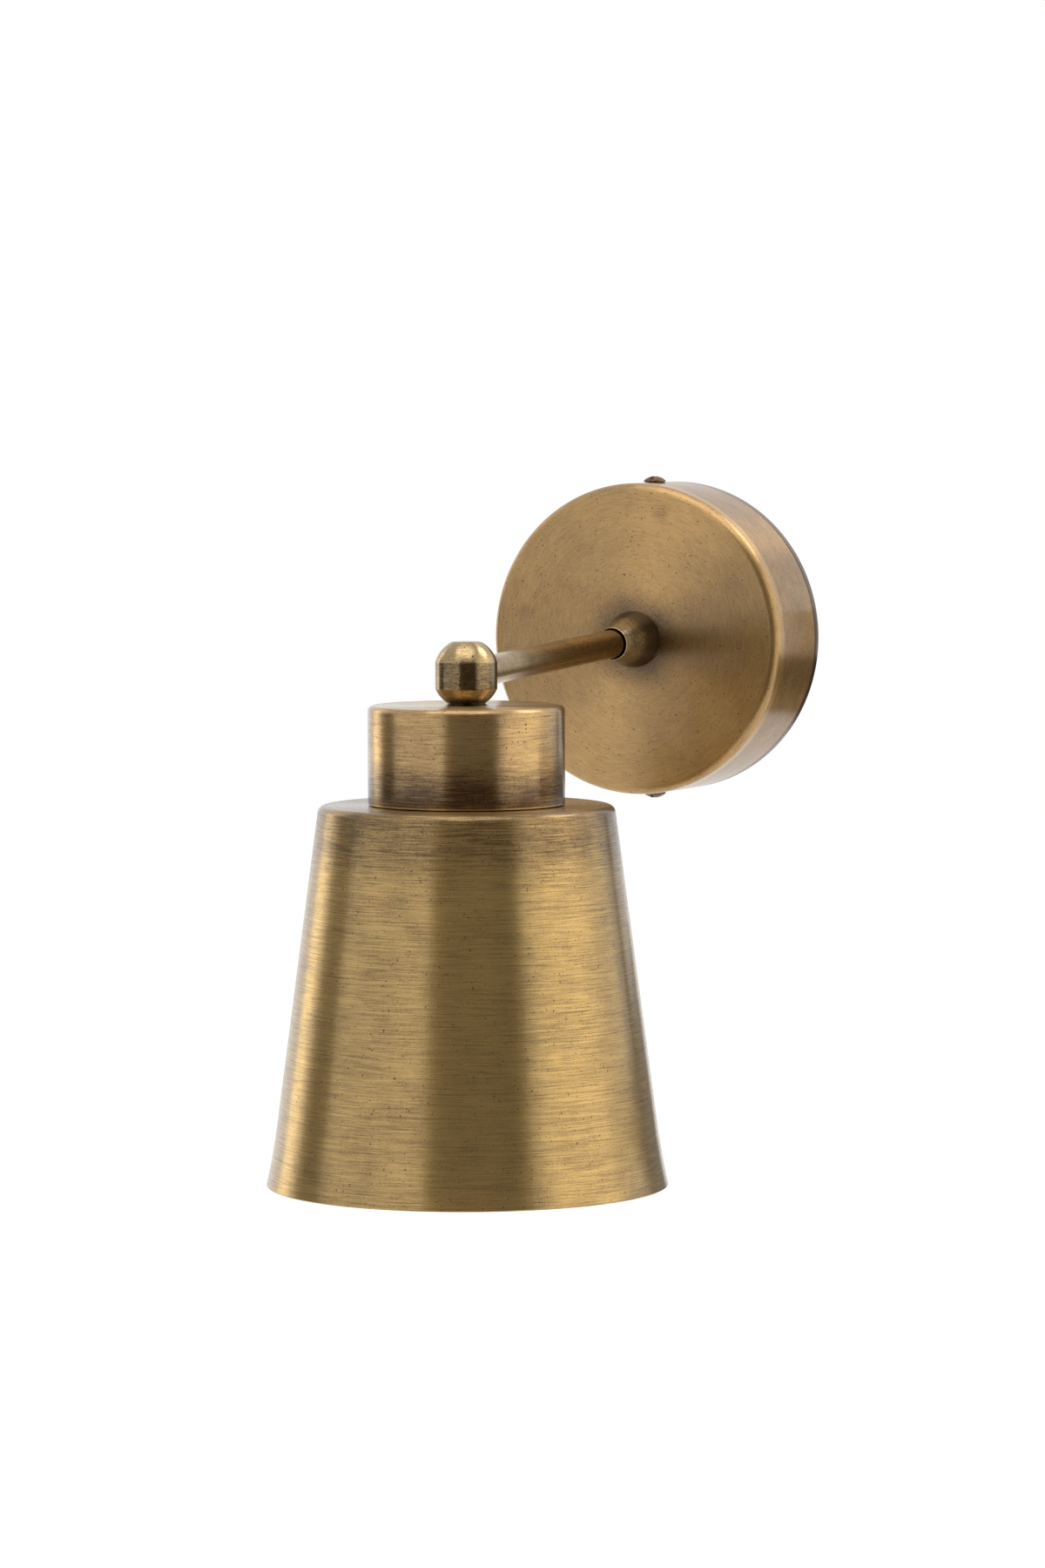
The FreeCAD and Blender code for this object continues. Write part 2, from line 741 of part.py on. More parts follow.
def make_shade():
    """Spun cone with a flat top, a hole for the lampholder and a slight flare at its rim."""
    low = f"({SHADE_TOP} - shade_height)"
    spread = "((shade_rim_radius - shade_top_radius) / shade_height)"
    bend = f"({low} + shade_flare_height)"
    at_bend = f"(shade_rim_radius - {spread} * shade_flare_height)"
    flare_arc = "((shade_flare_height^2 + shade_flare^2) / (2 * shade_flare))"
    inner_top = f"({SHADE_TOP} - shade_wall)"
    body = turned("Shade", [
        (f"{HOLDER_RADIUS} + fit_clearance", inner_top),
        (f"shade_top_radius - shade_wall * (1 - {spread})", inner_top),
        (f"{at_bend} - shade_wall", bend),
        ("shade_rim_radius + shade_flare - shade_wall", low, flare_arc),
        ("shade_rim_radius + shade_flare", low),
        (at_bend, bend, f"-{flare_arc}"),
        ("shade_top_radius", SHADE_TOP),
        (f"{HOLDER_RADIUS} + fit_clearance", SHADE_TOP),
    ])
    round_rings(body, [
        ("shade_top_radius", SHADE_TOP, "shade_edge_radius"),
        (f"shade_top_radius - shade_wall * (1 - {spread})", inner_top,
         "max(shade_edge_radius - shade_wall; least_round)"),
    ])
    keep(place(body, HEAD), "shade")


# ---- lampholder ----

FLANGE_TOP = f"({SHADE_TOP} + holder_flange_height)"
CAP_LOW = f"({CAP_TOP} - cap_height)"
GRUB_LEVEL = f"({CAP_TOP} - cap_boss_height / 2)"
BODY_TOP = f"({CAP_LOW} + cap_lap)"
SHELL_RADIUS = "(shell_bore_radius + shell_wall)"
SHELL_FLANGE_RADIUS = f"({SHELL_RADIUS} + shell_flange_width)"
CORE_RADIUS = f"({SHELL_FLANGE_RADIUS} + core_rim)"
LAP_RADIUS = f"({CORE_RADIUS} + contact_clearance + holder_wall)"
HOLDER_RADIUS = f"({LAP_RADIUS} + contact_clearance + cap_wall)"
CORE_TOP = BODY_TOP
CORE_LOW = f"({CORE_TOP} - core_height)"


def make_lampholder_cap():
    """Domed cap that screws on the nipple."""
    shoulder = f"({CAP_TOP} - cap_shoulder)"
    inside = f"({HOLDER_RADIUS} - cap_wall)"
    body = turned("HolderCap", [
        (THREAD_BORE, CAP_TOP),
        (THREAD_BORE, f"{CAP_TOP} - cap_boss_height"),
        ("cap_boss_radius", f"{CAP_TOP} - cap_boss_height"),
        (inside, f"{shoulder} - cap_wall"),
        (inside, CAP_LOW),
        (HOLDER_RADIUS, CAP_LOW),
        (HOLDER_RADIUS, shoulder),
        ("cap_boss_radius", CAP_TOP),
    ])
    side = new_sketch(body, "cap_grub_hole", "YZ_Plane")
    circles(side, [("0", GRUB_LEVEL, "grub_radius + contact_clearance")])
    cut(body, side, forwards=True)
    keep(place(body, HEAD), "lampholder_cap")
    grub = new_body("GrubScrew")
    end = new_sketch(grub, "grub_end", "YZ_Plane", "tube_radius + thread_clearance")
    circles(end, [("0", GRUB_LEVEL, "grub_radius")])
    pad(grub, end, "grub_length")
    keep(place(grub, HEAD), "lampholder_grub_screw")


def make_lampholder_body():
    """Skirted body: its top laps inside the cap, its flange sits on the shade, its skirt takes the ring."""
    low = f"({SHADE_TOP} - holder_skirt)"
    ledge = f"({CORE_LOW} - shell_wall - contact_clearance)"
    throat = f"({SHELL_RADIUS} + shell_gap)"
    body = turned("HolderBody", [
        (f"{CORE_RADIUS} + contact_clearance", BODY_TOP),
        (f"{CORE_RADIUS} + contact_clearance", ledge),
        (throat, ledge),
        (throat, low),
        (HOLDER_RADIUS, low),
        (HOLDER_RADIUS, SHADE_TOP),
        (f"{HOLDER_RADIUS} + holder_flange_width", SHADE_TOP),
        (f"{HOLDER_RADIUS} + holder_flange_width", FLANGE_TOP),
        (HOLDER_RADIUS, FLANGE_TOP),
        (HOLDER_RADIUS, f"{CAP_LOW} - contact_clearance"),
        (LAP_RADIUS, f"{CAP_LOW} - contact_clearance"),
        (LAP_RADIUS, BODY_TOP),
    ])
    keep(place(body, HEAD), "lampholder_body")


def make_socket_core():
    """Ceramic core with a stepped bore for the sprung contact and a hole for the neutral pin."""
    bore = "contact_radius + contact_clearance"
    chamber = "contact_collar_radius + contact_clearance"
    body = turned("Core", [
        (bore, CORE_LOW),
        (CORE_RADIUS, CORE_LOW),
        (CORE_RADIUS, CORE_TOP),
        (chamber, CORE_TOP),
        (chamber, f"{CORE_LOW} + contact_shoulder"),
        (bore, f"{CORE_LOW} + contact_shoulder"),
    ])
    hole = new_sketch(body, "core_neutral_hole", "XY_Plane")
    circles(hole, [(f"-{PIN_OFFSET}", "0", "neutral_pin_radius + contact_clearance")])
    cut(body, hole)
    keep(place(body, HEAD), "socket_core")


def make_socket_shell():
    """Thin brass screw shell: a top flange held by the core, a neck round the contact, then the bore."""
    low = f"({CORE_LOW} - shell_length)"
    neck = f"({CORE_LOW} - contact_reach - fit_clearance)"
    shoulder = f"({neck} + shell_bore_radius - shell_neck_radius)"
    body = turned("Shell", [
        ("shell_bore_radius", low),
        (SHELL_RADIUS, low),
        (SHELL_RADIUS, neck),
        ("shell_neck_radius + shell_wall", shoulder),
        ("shell_neck_radius + shell_wall", f"{CORE_LOW} - shell_wall"),
        (SHELL_FLANGE_RADIUS, f"{CORE_LOW} - shell_wall"),
        (SHELL_FLANGE_RADIUS, CORE_LOW),
        ("shell_neck_radius", CORE_LOW),
        ("shell_neck_radius", shoulder),
        ("shell_bore_radius", neck),
    ])
    keep(place(body, HEAD), "socket_shell")


COLLAR_LOW = f"({CORE_LOW} + contact_shoulder + contact_clearance)"
COLLAR_TOP = f"({COLLAR_LOW} + contact_collar_height)"


def make_contact():
    """Sprung centre contact: a plunger with a collar, and its spring, plain because it is hidden."""
    low = f"({CORE_LOW} - contact_reach)"
    plunger = turned("Contact", [
        ("0", COLLAR_TOP),
        ("0", low),
        ("contact_radius - contact_chamfer", low),
        ("contact_radius", f"{low} + contact_chamfer"),
        ("contact_radius", COLLAR_LOW),
        ("contact_collar_radius", COLLAR_LOW),
        ("contact_collar_radius", COLLAR_TOP),
    ])
    keep(place(plunger, HEAD), "centre_contact")
    foot, head = f"{COLLAR_TOP} + contact_clearance", f"{CORE_TOP} - contact_clearance"
    spring = turned("Spring", [
        ("spring_radius - spring_wall", foot), ("spring_radius", foot),
        ("spring_radius", head), ("spring_radius - spring_wall", head),
    ])
    keep(place(spring, HEAD), "contact_spring")


TERMINAL_LOW = f"({CORE_TOP} + bridge_wall)"
TERMINAL_MIDDLE = f"({TERMINAL_LOW} + holder_terminal_size / 2)"
PIN_OFFSET = f"((shell_bore_radius + {SHELL_FLANGE_RADIUS}) / 2)"


def holder_terminal(label, middle, left, right):
    """Brass block on the core about X = middle, on a foot from left to right, tapped from the front."""
    body = new_body(label.title())
    foot = new_sketch(body, label + "_foot", "XY_Plane", CORE_TOP)
    rectangle(foot, f"(({left}) + ({right})) / 2", "0", f"({right}) - ({left})", "bridge_width")
    pad(body, foot, "bridge_wall")
    block = new_sketch(body, label + "_block", "XY_Plane", TERMINAL_LOW)
    rectangle(block, middle, "0", "holder_terminal_size", "holder_terminal_size")
    pad(body, block, "holder_terminal_size")
    tap = new_sketch(body, label + "_tap", "XZ_Plane")
    circles(tap, [(middle, TERMINAL_MIDDLE, "holder_screw_radius + contact_clearance")])
    cut(body, tap, forwards=True)
    return keep(place(body, HEAD), label)


def bore_for_lead(body, forwards):
    """Blind bore from the axis to the middle of a lampholder terminal."""
    bore = new_sketch(body, body.Name + "_bore", "YZ_Plane")
    circles(bore, [("0", TERMINAL_MIDDLE, "lead_radius + contact_clearance")])
    cut(body, bore, length="holder_terminal_offset", forwards=forwards)


def make_holder_terminals():
    """The live terminal's foot bridges the spring; the neutral one has a pin down to the shell."""
    half = "holder_terminal_size / 2"
    live = holder_terminal(
        "live_terminal", "holder_terminal_offset",
        "-contact_collar_radius", f"holder_terminal_offset + {half}",
    )
    bore_for_lead(live, forwards=True)
    neutral = holder_terminal(
        "neutral_terminal", "-holder_terminal_offset",
        f"-({PIN_OFFSET} + neutral_pin_radius)", f"-(holder_terminal_offset - {half})",
    )
    tail = new_sketch(neutral, "neutral_pin", "XY_Plane", CORE_LOW)
    circles(tail, [(f"-{PIN_OFFSET}", "0", "neutral_pin_radius")])
    pad(neutral, tail, "core_height")
    bore_for_lead(neutral, forwards=False)


def make_holder_screws():
    """Clamping screw in the front of each lampholder terminal."""
    grip = "holder_terminal_size / 2 - lead_radius - contact_clearance * 2"
    for label, sign in (("live_terminal_screw", ""), ("neutral_terminal_screw", "-")):
        body = slotted_screw(
            label.title(), "holder_screw_radius", grip, "holder_screw_head_radius", "holder_screw_head_height"
        )
        seat = (f"{HEAD_Y} - holder_terminal_size / 2", f"{HEAD_Z} + {TERMINAL_MIDDLE}", "90")
        keep(place(body, seat, across=f"{sign}holder_terminal_offset"), label)


def make_shade_ring():
    """Threaded ring that clamps the shade from below: a flange with a narrower hub."""
    top = f"({SHADE_TOP} - shade_wall - contact_clearance)"
    bore = f"({HOLDER_RADIUS} + thread_clearance)"
    hub = f"({bore} + ring_hub_wall)"
    body = turned("ShadeRing", [
        (bore, f"{top} - ring_height"),
        (hub, f"{top} - ring_height"),
        (hub, f"{top} - ring_flange_height"),
        (f"{hub} + ring_flange_width", f"{top} - ring_flange_height"),
        (f"{hub} + ring_flange_width", top),
        (bore, top),
    ])
    keep(place(body, HEAD), "shade_ring")


# ---- leads ----

def rounded_path(points):
    """Straight runs joined by tangent arcs, each as large as 0.45 of the shorter run allows."""
    edges = []
    start = points[0]
    for before, corner, after in zip(points, points[1:], points[2:]):
        incoming = (corner - before).normalize()
        outgoing = (after - corner).normalize()
        turn = incoming.getAngle(outgoing)
        setback = 0.45 * min((corner - before).Length, (after - corner).Length)
        entry = corner - incoming * setback
        leave = corner + outgoing * setback
        middle = corner + (outgoing - incoming).normalize() * setback * (
            math.tan(turn / 2) ** -1 * (1 / math.cos(turn / 2) - 1)
        )
        edges.append(Part.LineSegment(start, entry).toShape())
        edges.append(Part.Arc(entry, middle, leave).toShape())
        print(f"lead bend of {setback / math.tan(turn / 2):.1f} mm radius")
        start = leave
    edges.append(Part.LineSegment(start, points[-1]).toShape())
    return Part.Wire(edges)


def lead(label, points):
    """Round lead along a path, from the sheet's present sizes."""
    path = rounded_path(points)
    radius = number("lead_radius")
    start = (points[1] - points[0]).normalize()
    section = Part.Wire([Part.Circle(points[0], start, radius).toShape()])
    piece = doc.addObject("Part::Feature", label)
    piece.Shape = path.makePipeShell([section], True, False)
    print(f"{label}: {path.Length:.1f} mm, volume ratio "
          f"{piece.Shape.Volume / (math.pi * radius ** 2 * path.Length):.4f}")
    return keep(piece, label)


def point(x, y, z):
    """Point from three expressions."""
    return Vector(number(x), number(y), number(z))


def on_arm(x, distance):
    """Point beside the arm's axis, at a distance from the face of the box."""
    return point(x, f"-canopy_depth - ({distance}) * cos(arm_droop)", f"-({distance}) * sin(arm_droop)")


def make_leads():
    """Live and neutral from the block through the arm to the ball, and on to the lampholder; earth."""
    bore = f"-(strap_wall + {BORE_HEIGHT})"
    inside = "-block_drop + clamp_screw_offset / 2"
    above = "-block_drop + block_length / 2 + lead_bend"
    far = "arm_reach - lead_offset - lead_radius - fit_clearance"
    for name, pole, side in (("live", "-pole_pitch", "-lead_offset"), ("neutral", "0", "lead_offset")):
        lead(f"arm_{name}_lead", [
            point(pole, bore, inside), point(pole, bore, above),
            on_arm(side, "-tube_tail + lead_margin"), on_arm(side, far),
        ])
    for name, sign in (("live", ""), ("neutral", "-")):
        middle = f"{HEAD_Z} + {TERMINAL_MIDDLE}"
        end = f"{sign}(holder_terminal_offset - lead_margin)"
        lead(f"head_{name}_lead", [
            point(f"{sign}lead_offset", HEAD_Y, f"{HEAD_Z} + lead_radius"),
            point(f"{sign}lead_offset", HEAD_Y, middle),
            point(end, HEAD_Y, middle),
        ])
    tongue = "tag_radius + tag_tongue / 2"
    on_tag = "-(strap_wall + tag_wall + lead_radius)"
    lead("earth_lead", [
        point("pole_pitch", bore, inside), point("pole_pitch", bore, above),
        point(tongue, on_tag, "earth_screw_rise / 2"), point(tongue, on_tag, "earth_screw_rise + lead_radius"),
    ])


# ---- the whole light ----

def check_document():
    """Stop if any object failed, or if a piece has no valid shape."""
    for item in doc.Objects:
        if "Invalid" in item.State or "Error" in item.State:
            raise ValueError(f"{item.Name} failed: {item.State}")
    for label, piece in nodes.items():
        if piece.Shape.isNull() or not piece.Shape.isValid():
            raise ValueError(f"{label} has no valid shape")


def export_nodes():
    """Write each piece to its own file."""
    os.makedirs("parts", exist_ok=True)
    for label, piece in nodes.items():
        piece.Shape.exportStep(f"parts/{label}.step")
        print(f"{label}: {len(piece.Shape.Solids)} solid(s), {piece.Shape.Volume:.0f} mm3")


def build():
    """Make every piece of the wall light and write it out."""
    fill_sheet()
    make_canopy()
    make_wall_bracket()
    make_side_screws()
    make_terminal_block()
    make_terminal_clamps()
    make_terminal_screws()
    make_strap_screws()
    make_earth_tag()
    make_arm_tube()
    make_arm_collar()
    make_arm_fixings()
    make_ball_knuckle()
    make_neck_washer()
    make_nipple()
    make_cup()
    make_shade()
    make_lampholder_cap()
    make_lampholder_body()
    make_socket_core()
    make_socket_shell()
    make_contact()
    make_holder_terminals()
    make_holder_screws()
    make_shade_ring()
    doc.recompute()
    make_leads()
    doc.recompute()
    check_document()
    export_nodes()
    print(len(nodes), "nodes")


build()
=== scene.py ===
# %% [markdown]
# # A wall light in antique brushed brass
# The construction of the light comes from a fixed frame: every piece has its real size and place there,
# in metres. This lesson dresses that frame. It makes smooth meshes where the light catches a turned or
# pressed surface, gives every surface its finish, and sets up a plain studio round it.

# %% Load the frame
import json
import math

import bmesh
import bpy
from mathutils import Matrix, Vector


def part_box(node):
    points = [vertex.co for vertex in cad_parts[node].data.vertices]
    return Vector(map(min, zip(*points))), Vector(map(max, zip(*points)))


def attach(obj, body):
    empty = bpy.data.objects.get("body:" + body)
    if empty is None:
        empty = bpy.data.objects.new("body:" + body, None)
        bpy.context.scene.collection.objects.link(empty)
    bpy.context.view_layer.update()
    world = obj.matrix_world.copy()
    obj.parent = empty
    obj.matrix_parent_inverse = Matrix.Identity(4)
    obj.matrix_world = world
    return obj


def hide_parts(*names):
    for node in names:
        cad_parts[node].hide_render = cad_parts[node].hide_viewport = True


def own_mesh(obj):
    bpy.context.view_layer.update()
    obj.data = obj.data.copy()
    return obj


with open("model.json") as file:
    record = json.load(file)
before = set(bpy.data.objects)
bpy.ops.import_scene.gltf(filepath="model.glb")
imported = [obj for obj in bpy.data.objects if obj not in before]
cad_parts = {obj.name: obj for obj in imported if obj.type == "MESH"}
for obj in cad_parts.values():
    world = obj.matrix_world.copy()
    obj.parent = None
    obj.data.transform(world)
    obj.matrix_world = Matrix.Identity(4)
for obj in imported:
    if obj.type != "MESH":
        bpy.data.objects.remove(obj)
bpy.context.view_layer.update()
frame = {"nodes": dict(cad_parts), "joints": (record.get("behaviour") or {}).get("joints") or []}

MM = 0.001


def joint_place(name):
    """Point that a joint turns about."""
    return Vector(next(joint["pos_m"] for joint in frame["joints"] if joint["name"] == name))


# %% [markdown]
# ## Places to build in
# Almost every brass piece was turned or spun about an axis, and there are only three axes: straight out
# of the wall, along the sloping arm, and upright through the ball. A place is an origin on the axis, the
# axis itself and a direction across it, so one outline in radius and height serves any of them.

# %% The three axes
ACROSS = Vector((1, 0, 0))
UP = Vector((0, 0, 1))
OUT = Vector((0, -1, 0))

ball_centre = joint_place("head_swivel")
canopy_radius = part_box("canopy")[1].x
canopy_depth = -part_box("canopy")[0].y
arm_start = Vector((0, -canopy_depth, 0))
arm_axis = (ball_centre - arm_start).normalized()
arm_reach = (ball_centre - arm_start).length
arm_droop = math.asin(-arm_axis.z)

WALL = (Vector((0, 0, 0)), OUT, ACROSS)
ARM = (arm_start, arm_axis, ACROSS)
HEAD = (ball_centre, UP, ACROSS)
print(f"arm reach {arm_reach / MM:.1f} mm, droop {math.degrees(arm_droop):.2f} degrees")


# %% [markdown]
# ## The camera
# The camera stands where the picture was taken from: about 25 degrees to the right of the wall's normal and 4
# degrees above. The lens is long, so the far side of the box is hardly smaller than the near side. The
# box's front centre is pinned to its pixel in the picture, which fixes the camera's place.

# %% Camera at the photograph's angle
PICTURE = (1200, 1800)
FOCAL_PIXELS = 6700
SENSOR = 36.0
CAMERA_AZIMUTH = math.radians(25.25)
CAMERA_HEIGHT = math.radians(3.95)
CAMERA_ROLL = math.radians(-0.11)
FACE_PIXEL = (727.45, 733.8)
FACE_DISTANCE = 2.0598


def camera_axes():
    """Right, up and backward directions of the camera."""
    back = Vector((
        math.sin(CAMERA_AZIMUTH) * math.cos(CAMERA_HEIGHT),
        -math.cos(CAMERA_AZIMUTH) * math.cos(CAMERA_HEIGHT),
        math.sin(CAMERA_HEIGHT),
    ))
    level = Vector((math.cos(CAMERA_AZIMUTH), math.sin(CAMERA_AZIMUTH), 0))
    rise = back.cross(level)
    right = level * math.cos(CAMERA_ROLL) + rise * math.sin(CAMERA_ROLL)
    up = rise * math.cos(CAMERA_ROLL) - level * math.sin(CAMERA_ROLL)
    return right, up, back


def make_camera():
    """Camera whose picture holds the face of the box at its pixel."""
    right, up, back = camera_axes()
    aside = (FACE_PIXEL[0] - PICTURE[0] / 2) / FOCAL_PIXELS * FACE_DISTANCE
    above = (PICTURE[1] / 2 - FACE_PIXEL[1]) / FOCAL_PIXELS * FACE_DISTANCE
    place = arm_start - right * aside - up * above + back * FACE_DISTANCE
    data = bpy.data.cameras.new("camera")
    data.sensor_width = SENSOR
    data.lens = FOCAL_PIXELS / max(PICTURE) * SENSOR
    data.clip_start, data.clip_end = 0.1, 50
    camera = bpy.data.objects.new("camera", data)
    bpy.context.scene.collection.objects.link(camera)
    camera.matrix_world = Matrix((
        (right.x, up.x, back.x, place.x),
        (right.y, up.y, back.y, place.y),
        (right.z, up.z, back.z, place.z),
        (0, 0, 0, 1),
    ))
    bpy.context.scene.camera = camera
    return camera


camera = make_camera()
bpy.context.scene.view_settings.view_transform = "Standard"
print(f"lens {camera.data.lens:.1f} mm, camera at", [round(v, 3) for v in camera.matrix_world.translation])


# %% [markdown]
# ## Nodes and colours
# Colours are written as the hex values that a picture would show, so one function turns them to the
# linear values that a shader needs. One small function adds a node with its settings and links.

# %% Two helpers for materials
def linear(code):
    """Linear colour, with alpha, of an sRGB hex code."""
    shares = [int(code[index:index + 2], 16) / 255 for index in (1, 3, 5)]
    return [s / 12.92 if s <= 0.04045 else ((s + 0.055) / 1.055) ** 2.4 for s in shares] + [1]


def add(tree, kind, sockets=None, **settings):
    """Add a node with its settings, and fill or link its sockets."""
    fresh = tree.nodes.new("ShaderNode" + kind)
    for name, value in settings.items():
        setattr(fresh, name, value)
    for name, value in (sockets or {}).items():
        if isinstance(value, bpy.types.NodeSocket):
            tree.links.new(value, fresh.inputs[name])
        else:
            fresh.inputs[name].default_value = value
    return fresh


def new_material(name):
    """Empty node material and its tree."""
    material = bpy.data.materials.new(name)
    material.use_nodes = True
    material.node_tree.nodes.clear()
    return material, material.node_tree


# %% [markdown]
# ## The studio
# Metal shows what stands round it, so the studio is made first. The background is white to the camera and
# to reflections. A wide soft lamp on the right, a narrow one behind on the left and one overhead give the
# bright bands. Dark cards, which only reflections can see, give the dark ones: one round the camera, one
# narrow strip on the left, and two behind on the right.

# %% World
WHITE_TO_MATT = 0.55


def make_world():
    """White to the camera and to reflections, and softer as a light on matt surfaces."""
    world = bpy.data.worlds.new("studio")
    world.use_nodes = True
    tree = world.node_tree
    tree.nodes.clear()
    rays = add(tree, "LightPath")
    shown = add(tree, "Math", {0: rays.outputs["Is Camera Ray"], 1: rays.outputs["Is Glossy Ray"]},
                operation="ADD")
    seen = add(tree, "Math", {0: shown.outputs[0], 1: rays.outputs["Is Transmission Ray"]},
               operation="ADD", use_clamp=True)
    level = add(tree, "MapRange", {"Value": seen.outputs[0], "To Min": WHITE_TO_MATT, "To Max": 1.0})
    background = add(tree, "Background", {"Color": (1, 1, 1, 1), "Strength": level.outputs[0]})
    add(tree, "OutputWorld", {"Surface": background.outputs[0]})
    bpy.context.scene.world = world
    print(f"white world, {WHITE_TO_MATT} as a light on matt surfaces")


make_world()


# %% Lamps
STUDIO_CENTRE = Vector((0, ball_centre.y * 0.7, -0.06))


def round_studio(azimuth, height, distance):
    """Point round the light: azimuth 0 is in front of the wall, 90 on the right, height in degrees."""
    turn, tilt = math.radians(azimuth), math.radians(height)
    return STUDIO_CENTRE + distance * Vector((
        math.sin(turn) * math.cos(tilt), -math.cos(turn) * math.cos(tilt), math.sin(tilt)
    ))


def face_centre(item):
    """Turn a lamp or card so that its front looks at the light."""
    item.rotation_euler = (item.location - STUDIO_CENTRE).to_track_quat("Z", "Y").to_euler()


def soft_lamp(name, azimuth, height, distance, size, brightness, colour):
    """Rectangular lamp whose face looks as bright as the number says, where 1 is white."""
    data = bpy.data.lights.new(name, "AREA")
    data.shape = "RECTANGLE"
    data.size, data.size_y = size
    data.energy = brightness * 4 * size[0] * size[1]
    data.color = linear(colour)[:3]
    lamp = bpy.data.objects.new(name, data)
    bpy.context.scene.collection.objects.link(lamp)
    lamp.location = round_studio(azimuth, height, distance)
    face_centre(lamp)
    print(f"{name}: {data.energy:.1f} W at azimuth {azimuth}, height {height}")
    return lamp


soft_lamp("lamp_right", 109, 8, 1.4, (2.2, 1.5), 0.52, "#FFF1CE")
soft_lamp("lamp_right_back", 130, 50, 1.3, (0.5, 0.5), 4.6, "#FFF8EC")
soft_lamp("lamp_left_back", -102, 5, 1.4, (0.34, 1.8), 1.15, "#FFEBAC")
soft_lamp("lamp_overhead", 10, 70, 1.3, (1.2, 1.0), 1.6, "#FFF8EE")


# %% Dark cards
def clear_selection():
    """Leave edit mode and deselect everything."""
    if bpy.context.object and bpy.context.object.mode != "OBJECT":
        bpy.ops.object.mode_set(mode="OBJECT")
    bpy.ops.object.select_all(action="DESELECT")


def dark_card(name, azimuth, height, distance, size, shade):
    """Card that only reflections see."""
    clear_selection()
    bpy.ops.mesh.primitive_plane_add(size=1)
    card = bpy.context.object
    card.name = name
    card.scale = (size[0], size[1], 1)
    card.location = round_studio(azimuth, height, distance)
    face_centre(card)
    material, tree = new_material(name + "_cloth")
    glow = add(tree, "Emission", {"Color": linear(shade), "Strength": 1.0})
    add(tree, "OutputMaterial", {"Surface": glow.outputs[0]})
    card.data.materials.append(material)
    card.visible_camera = card.visible_diffuse = card.visible_shadow = card.visible_transmission = False
    print(f"{name}: {size[0]} x {size[1]} m at azimuth {azimuth}")
    return card


dark_card("card_camera", 31, -4, 1.1, (1.3, 2.2), "#241E19")
dark_card("card_left", -76, -14, 1.1, (0.45, 0.9), "#40392F")
dark_card("card_right_back", 158, -9, 1.15, (0.13, 0.72), "#7A6A50")
dark_card("card_low_right", 150, -11, 1.05, (1.3, 0.27), "#1E1915")


# %% [markdown]
# ## The floor
# The floor lies well below the light and keeps its soft shadow. It is matt paint with a little glow of
# its own for the camera and for reflections, which brings it up to the background's white, so no horizon
# line shows.

# %% Floor
FLOOR_LEVEL = -0.62
FLOOR_LIFT = 0.74


def make_floor():
    """Pale matt floor, white to the camera and open from below, which keeps the light's shadow."""
    clear_selection()
    bpy.ops.mesh.primitive_plane_add(size=14, location=(0, 0, FLOOR_LEVEL))
    floor = bpy.context.object
    floor.name = "floor"
    material, tree = new_material("matt_white_floor")
    rays = add(tree, "LightPath")
    seen = add(tree, "Math", {0: rays.outputs["Is Camera Ray"], 1: rays.outputs["Is Glossy Ray"]},
               operation="ADD", use_clamp=True)
    paint = add(tree, "BsdfDiffuse", {"Color": linear("#C9C7C3")})
    lift = add(tree, "Math", {0: seen.outputs[0], 1: FLOOR_LIFT}, operation="MULTIPLY")
    glow = add(tree, "Emission", {"Color": (1, 1, 1, 1), "Strength": lift.outputs[0]})
    lit = add(tree, "AddShader", {0: paint.outputs[0], 1: glow.outputs[0]})
    side = add(tree, "NewGeometry")
    clear = add(tree, "BsdfTransparent")
    surface = add(tree, "MixShader", {
        "Fac": side.outputs["Backfacing"], 1: lit.outputs[0], 2: clear.outputs[0],
    })
    add(tree, "OutputMaterial", {"Surface": surface.outputs[0]})
    floor.data.materials.append(material)
    print(f"floor at {FLOOR_LEVEL} m")
    return floor


make_floor()


# %% [markdown]
# ## Antique brushed brass
# The visible metal is brass that was darkened in a brown pickle and then brushed back, so that bright
# metal shows through along the brush lines and the brown stays in the valleys, the corners and a few
# pits. Bands painted darker or brighter by height or radius are added on some pieces: painted shade in
# corners, under parts and on a side that the light misses, and painted highlights on a few edges. The
# brush went round the piece as it turned, so a reflection is drawn out across the lines: that is
# anisotropy, and its direction is worked out from the axis that the piece was turned about. The line
# pattern is noise in four numbers: the direction round the axis, the height and the radius. It has no
# seam, and it is fine along the profile and long round the axis.

# %% Sizes of the marks
BRUSH_LINE = 0.32 * MM
STROKE_LENGTH = 16 * MM
CLOUD = 11 * MM
GRIT = 0.4 * MM
GRIT_SHARE = 0.9
PIT = 0.7 * MM
PIT_START, PIT_FULL = 0.76, 0.84
BROWN_ROUGHER = 0.12
RELIEF = 0.014 * MM
print(f"brush lines {BRUSH_LINE / MM:.2f} mm apart, clouds {CLOUD / MM:.0f} mm, pits {PIT / MM:.1f} mm")


# %% Where a point is round an axis
def round_axis(tree, place):
    """Sockets that tell where a point is, seen from a place's axis."""
    origin, axis, _ = place
    turn = axis.to_track_quat("Z", "Y").to_euler()
    where = add(tree, "TexCoord")
    local = add(tree, "Mapping", {"Vector": where.outputs["Object"], "Location": origin, "Rotation": turn},
                vector_type="TEXTURE")
    parts = add(tree, "SeparateXYZ", {"Vector": local.outputs[0]})
    flat = add(tree, "CombineXYZ", {"X": parts.outputs["X"], "Y": parts.outputs["Y"]})
    radius = add(tree, "VectorMath", {0: flat.outputs[0]}, operation="LENGTH")
    outwards = add(tree, "VectorMath", {0: flat.outputs[0]}, operation="NORMALIZE")
    return {
        "turn": turn,
        "frame": where.outputs["Object"],
        "point": local.outputs[0],
        "height": parts.outputs["Z"],
        "radius": radius.outputs["Value"],
        "outwards": outwards.outputs[0],
    }


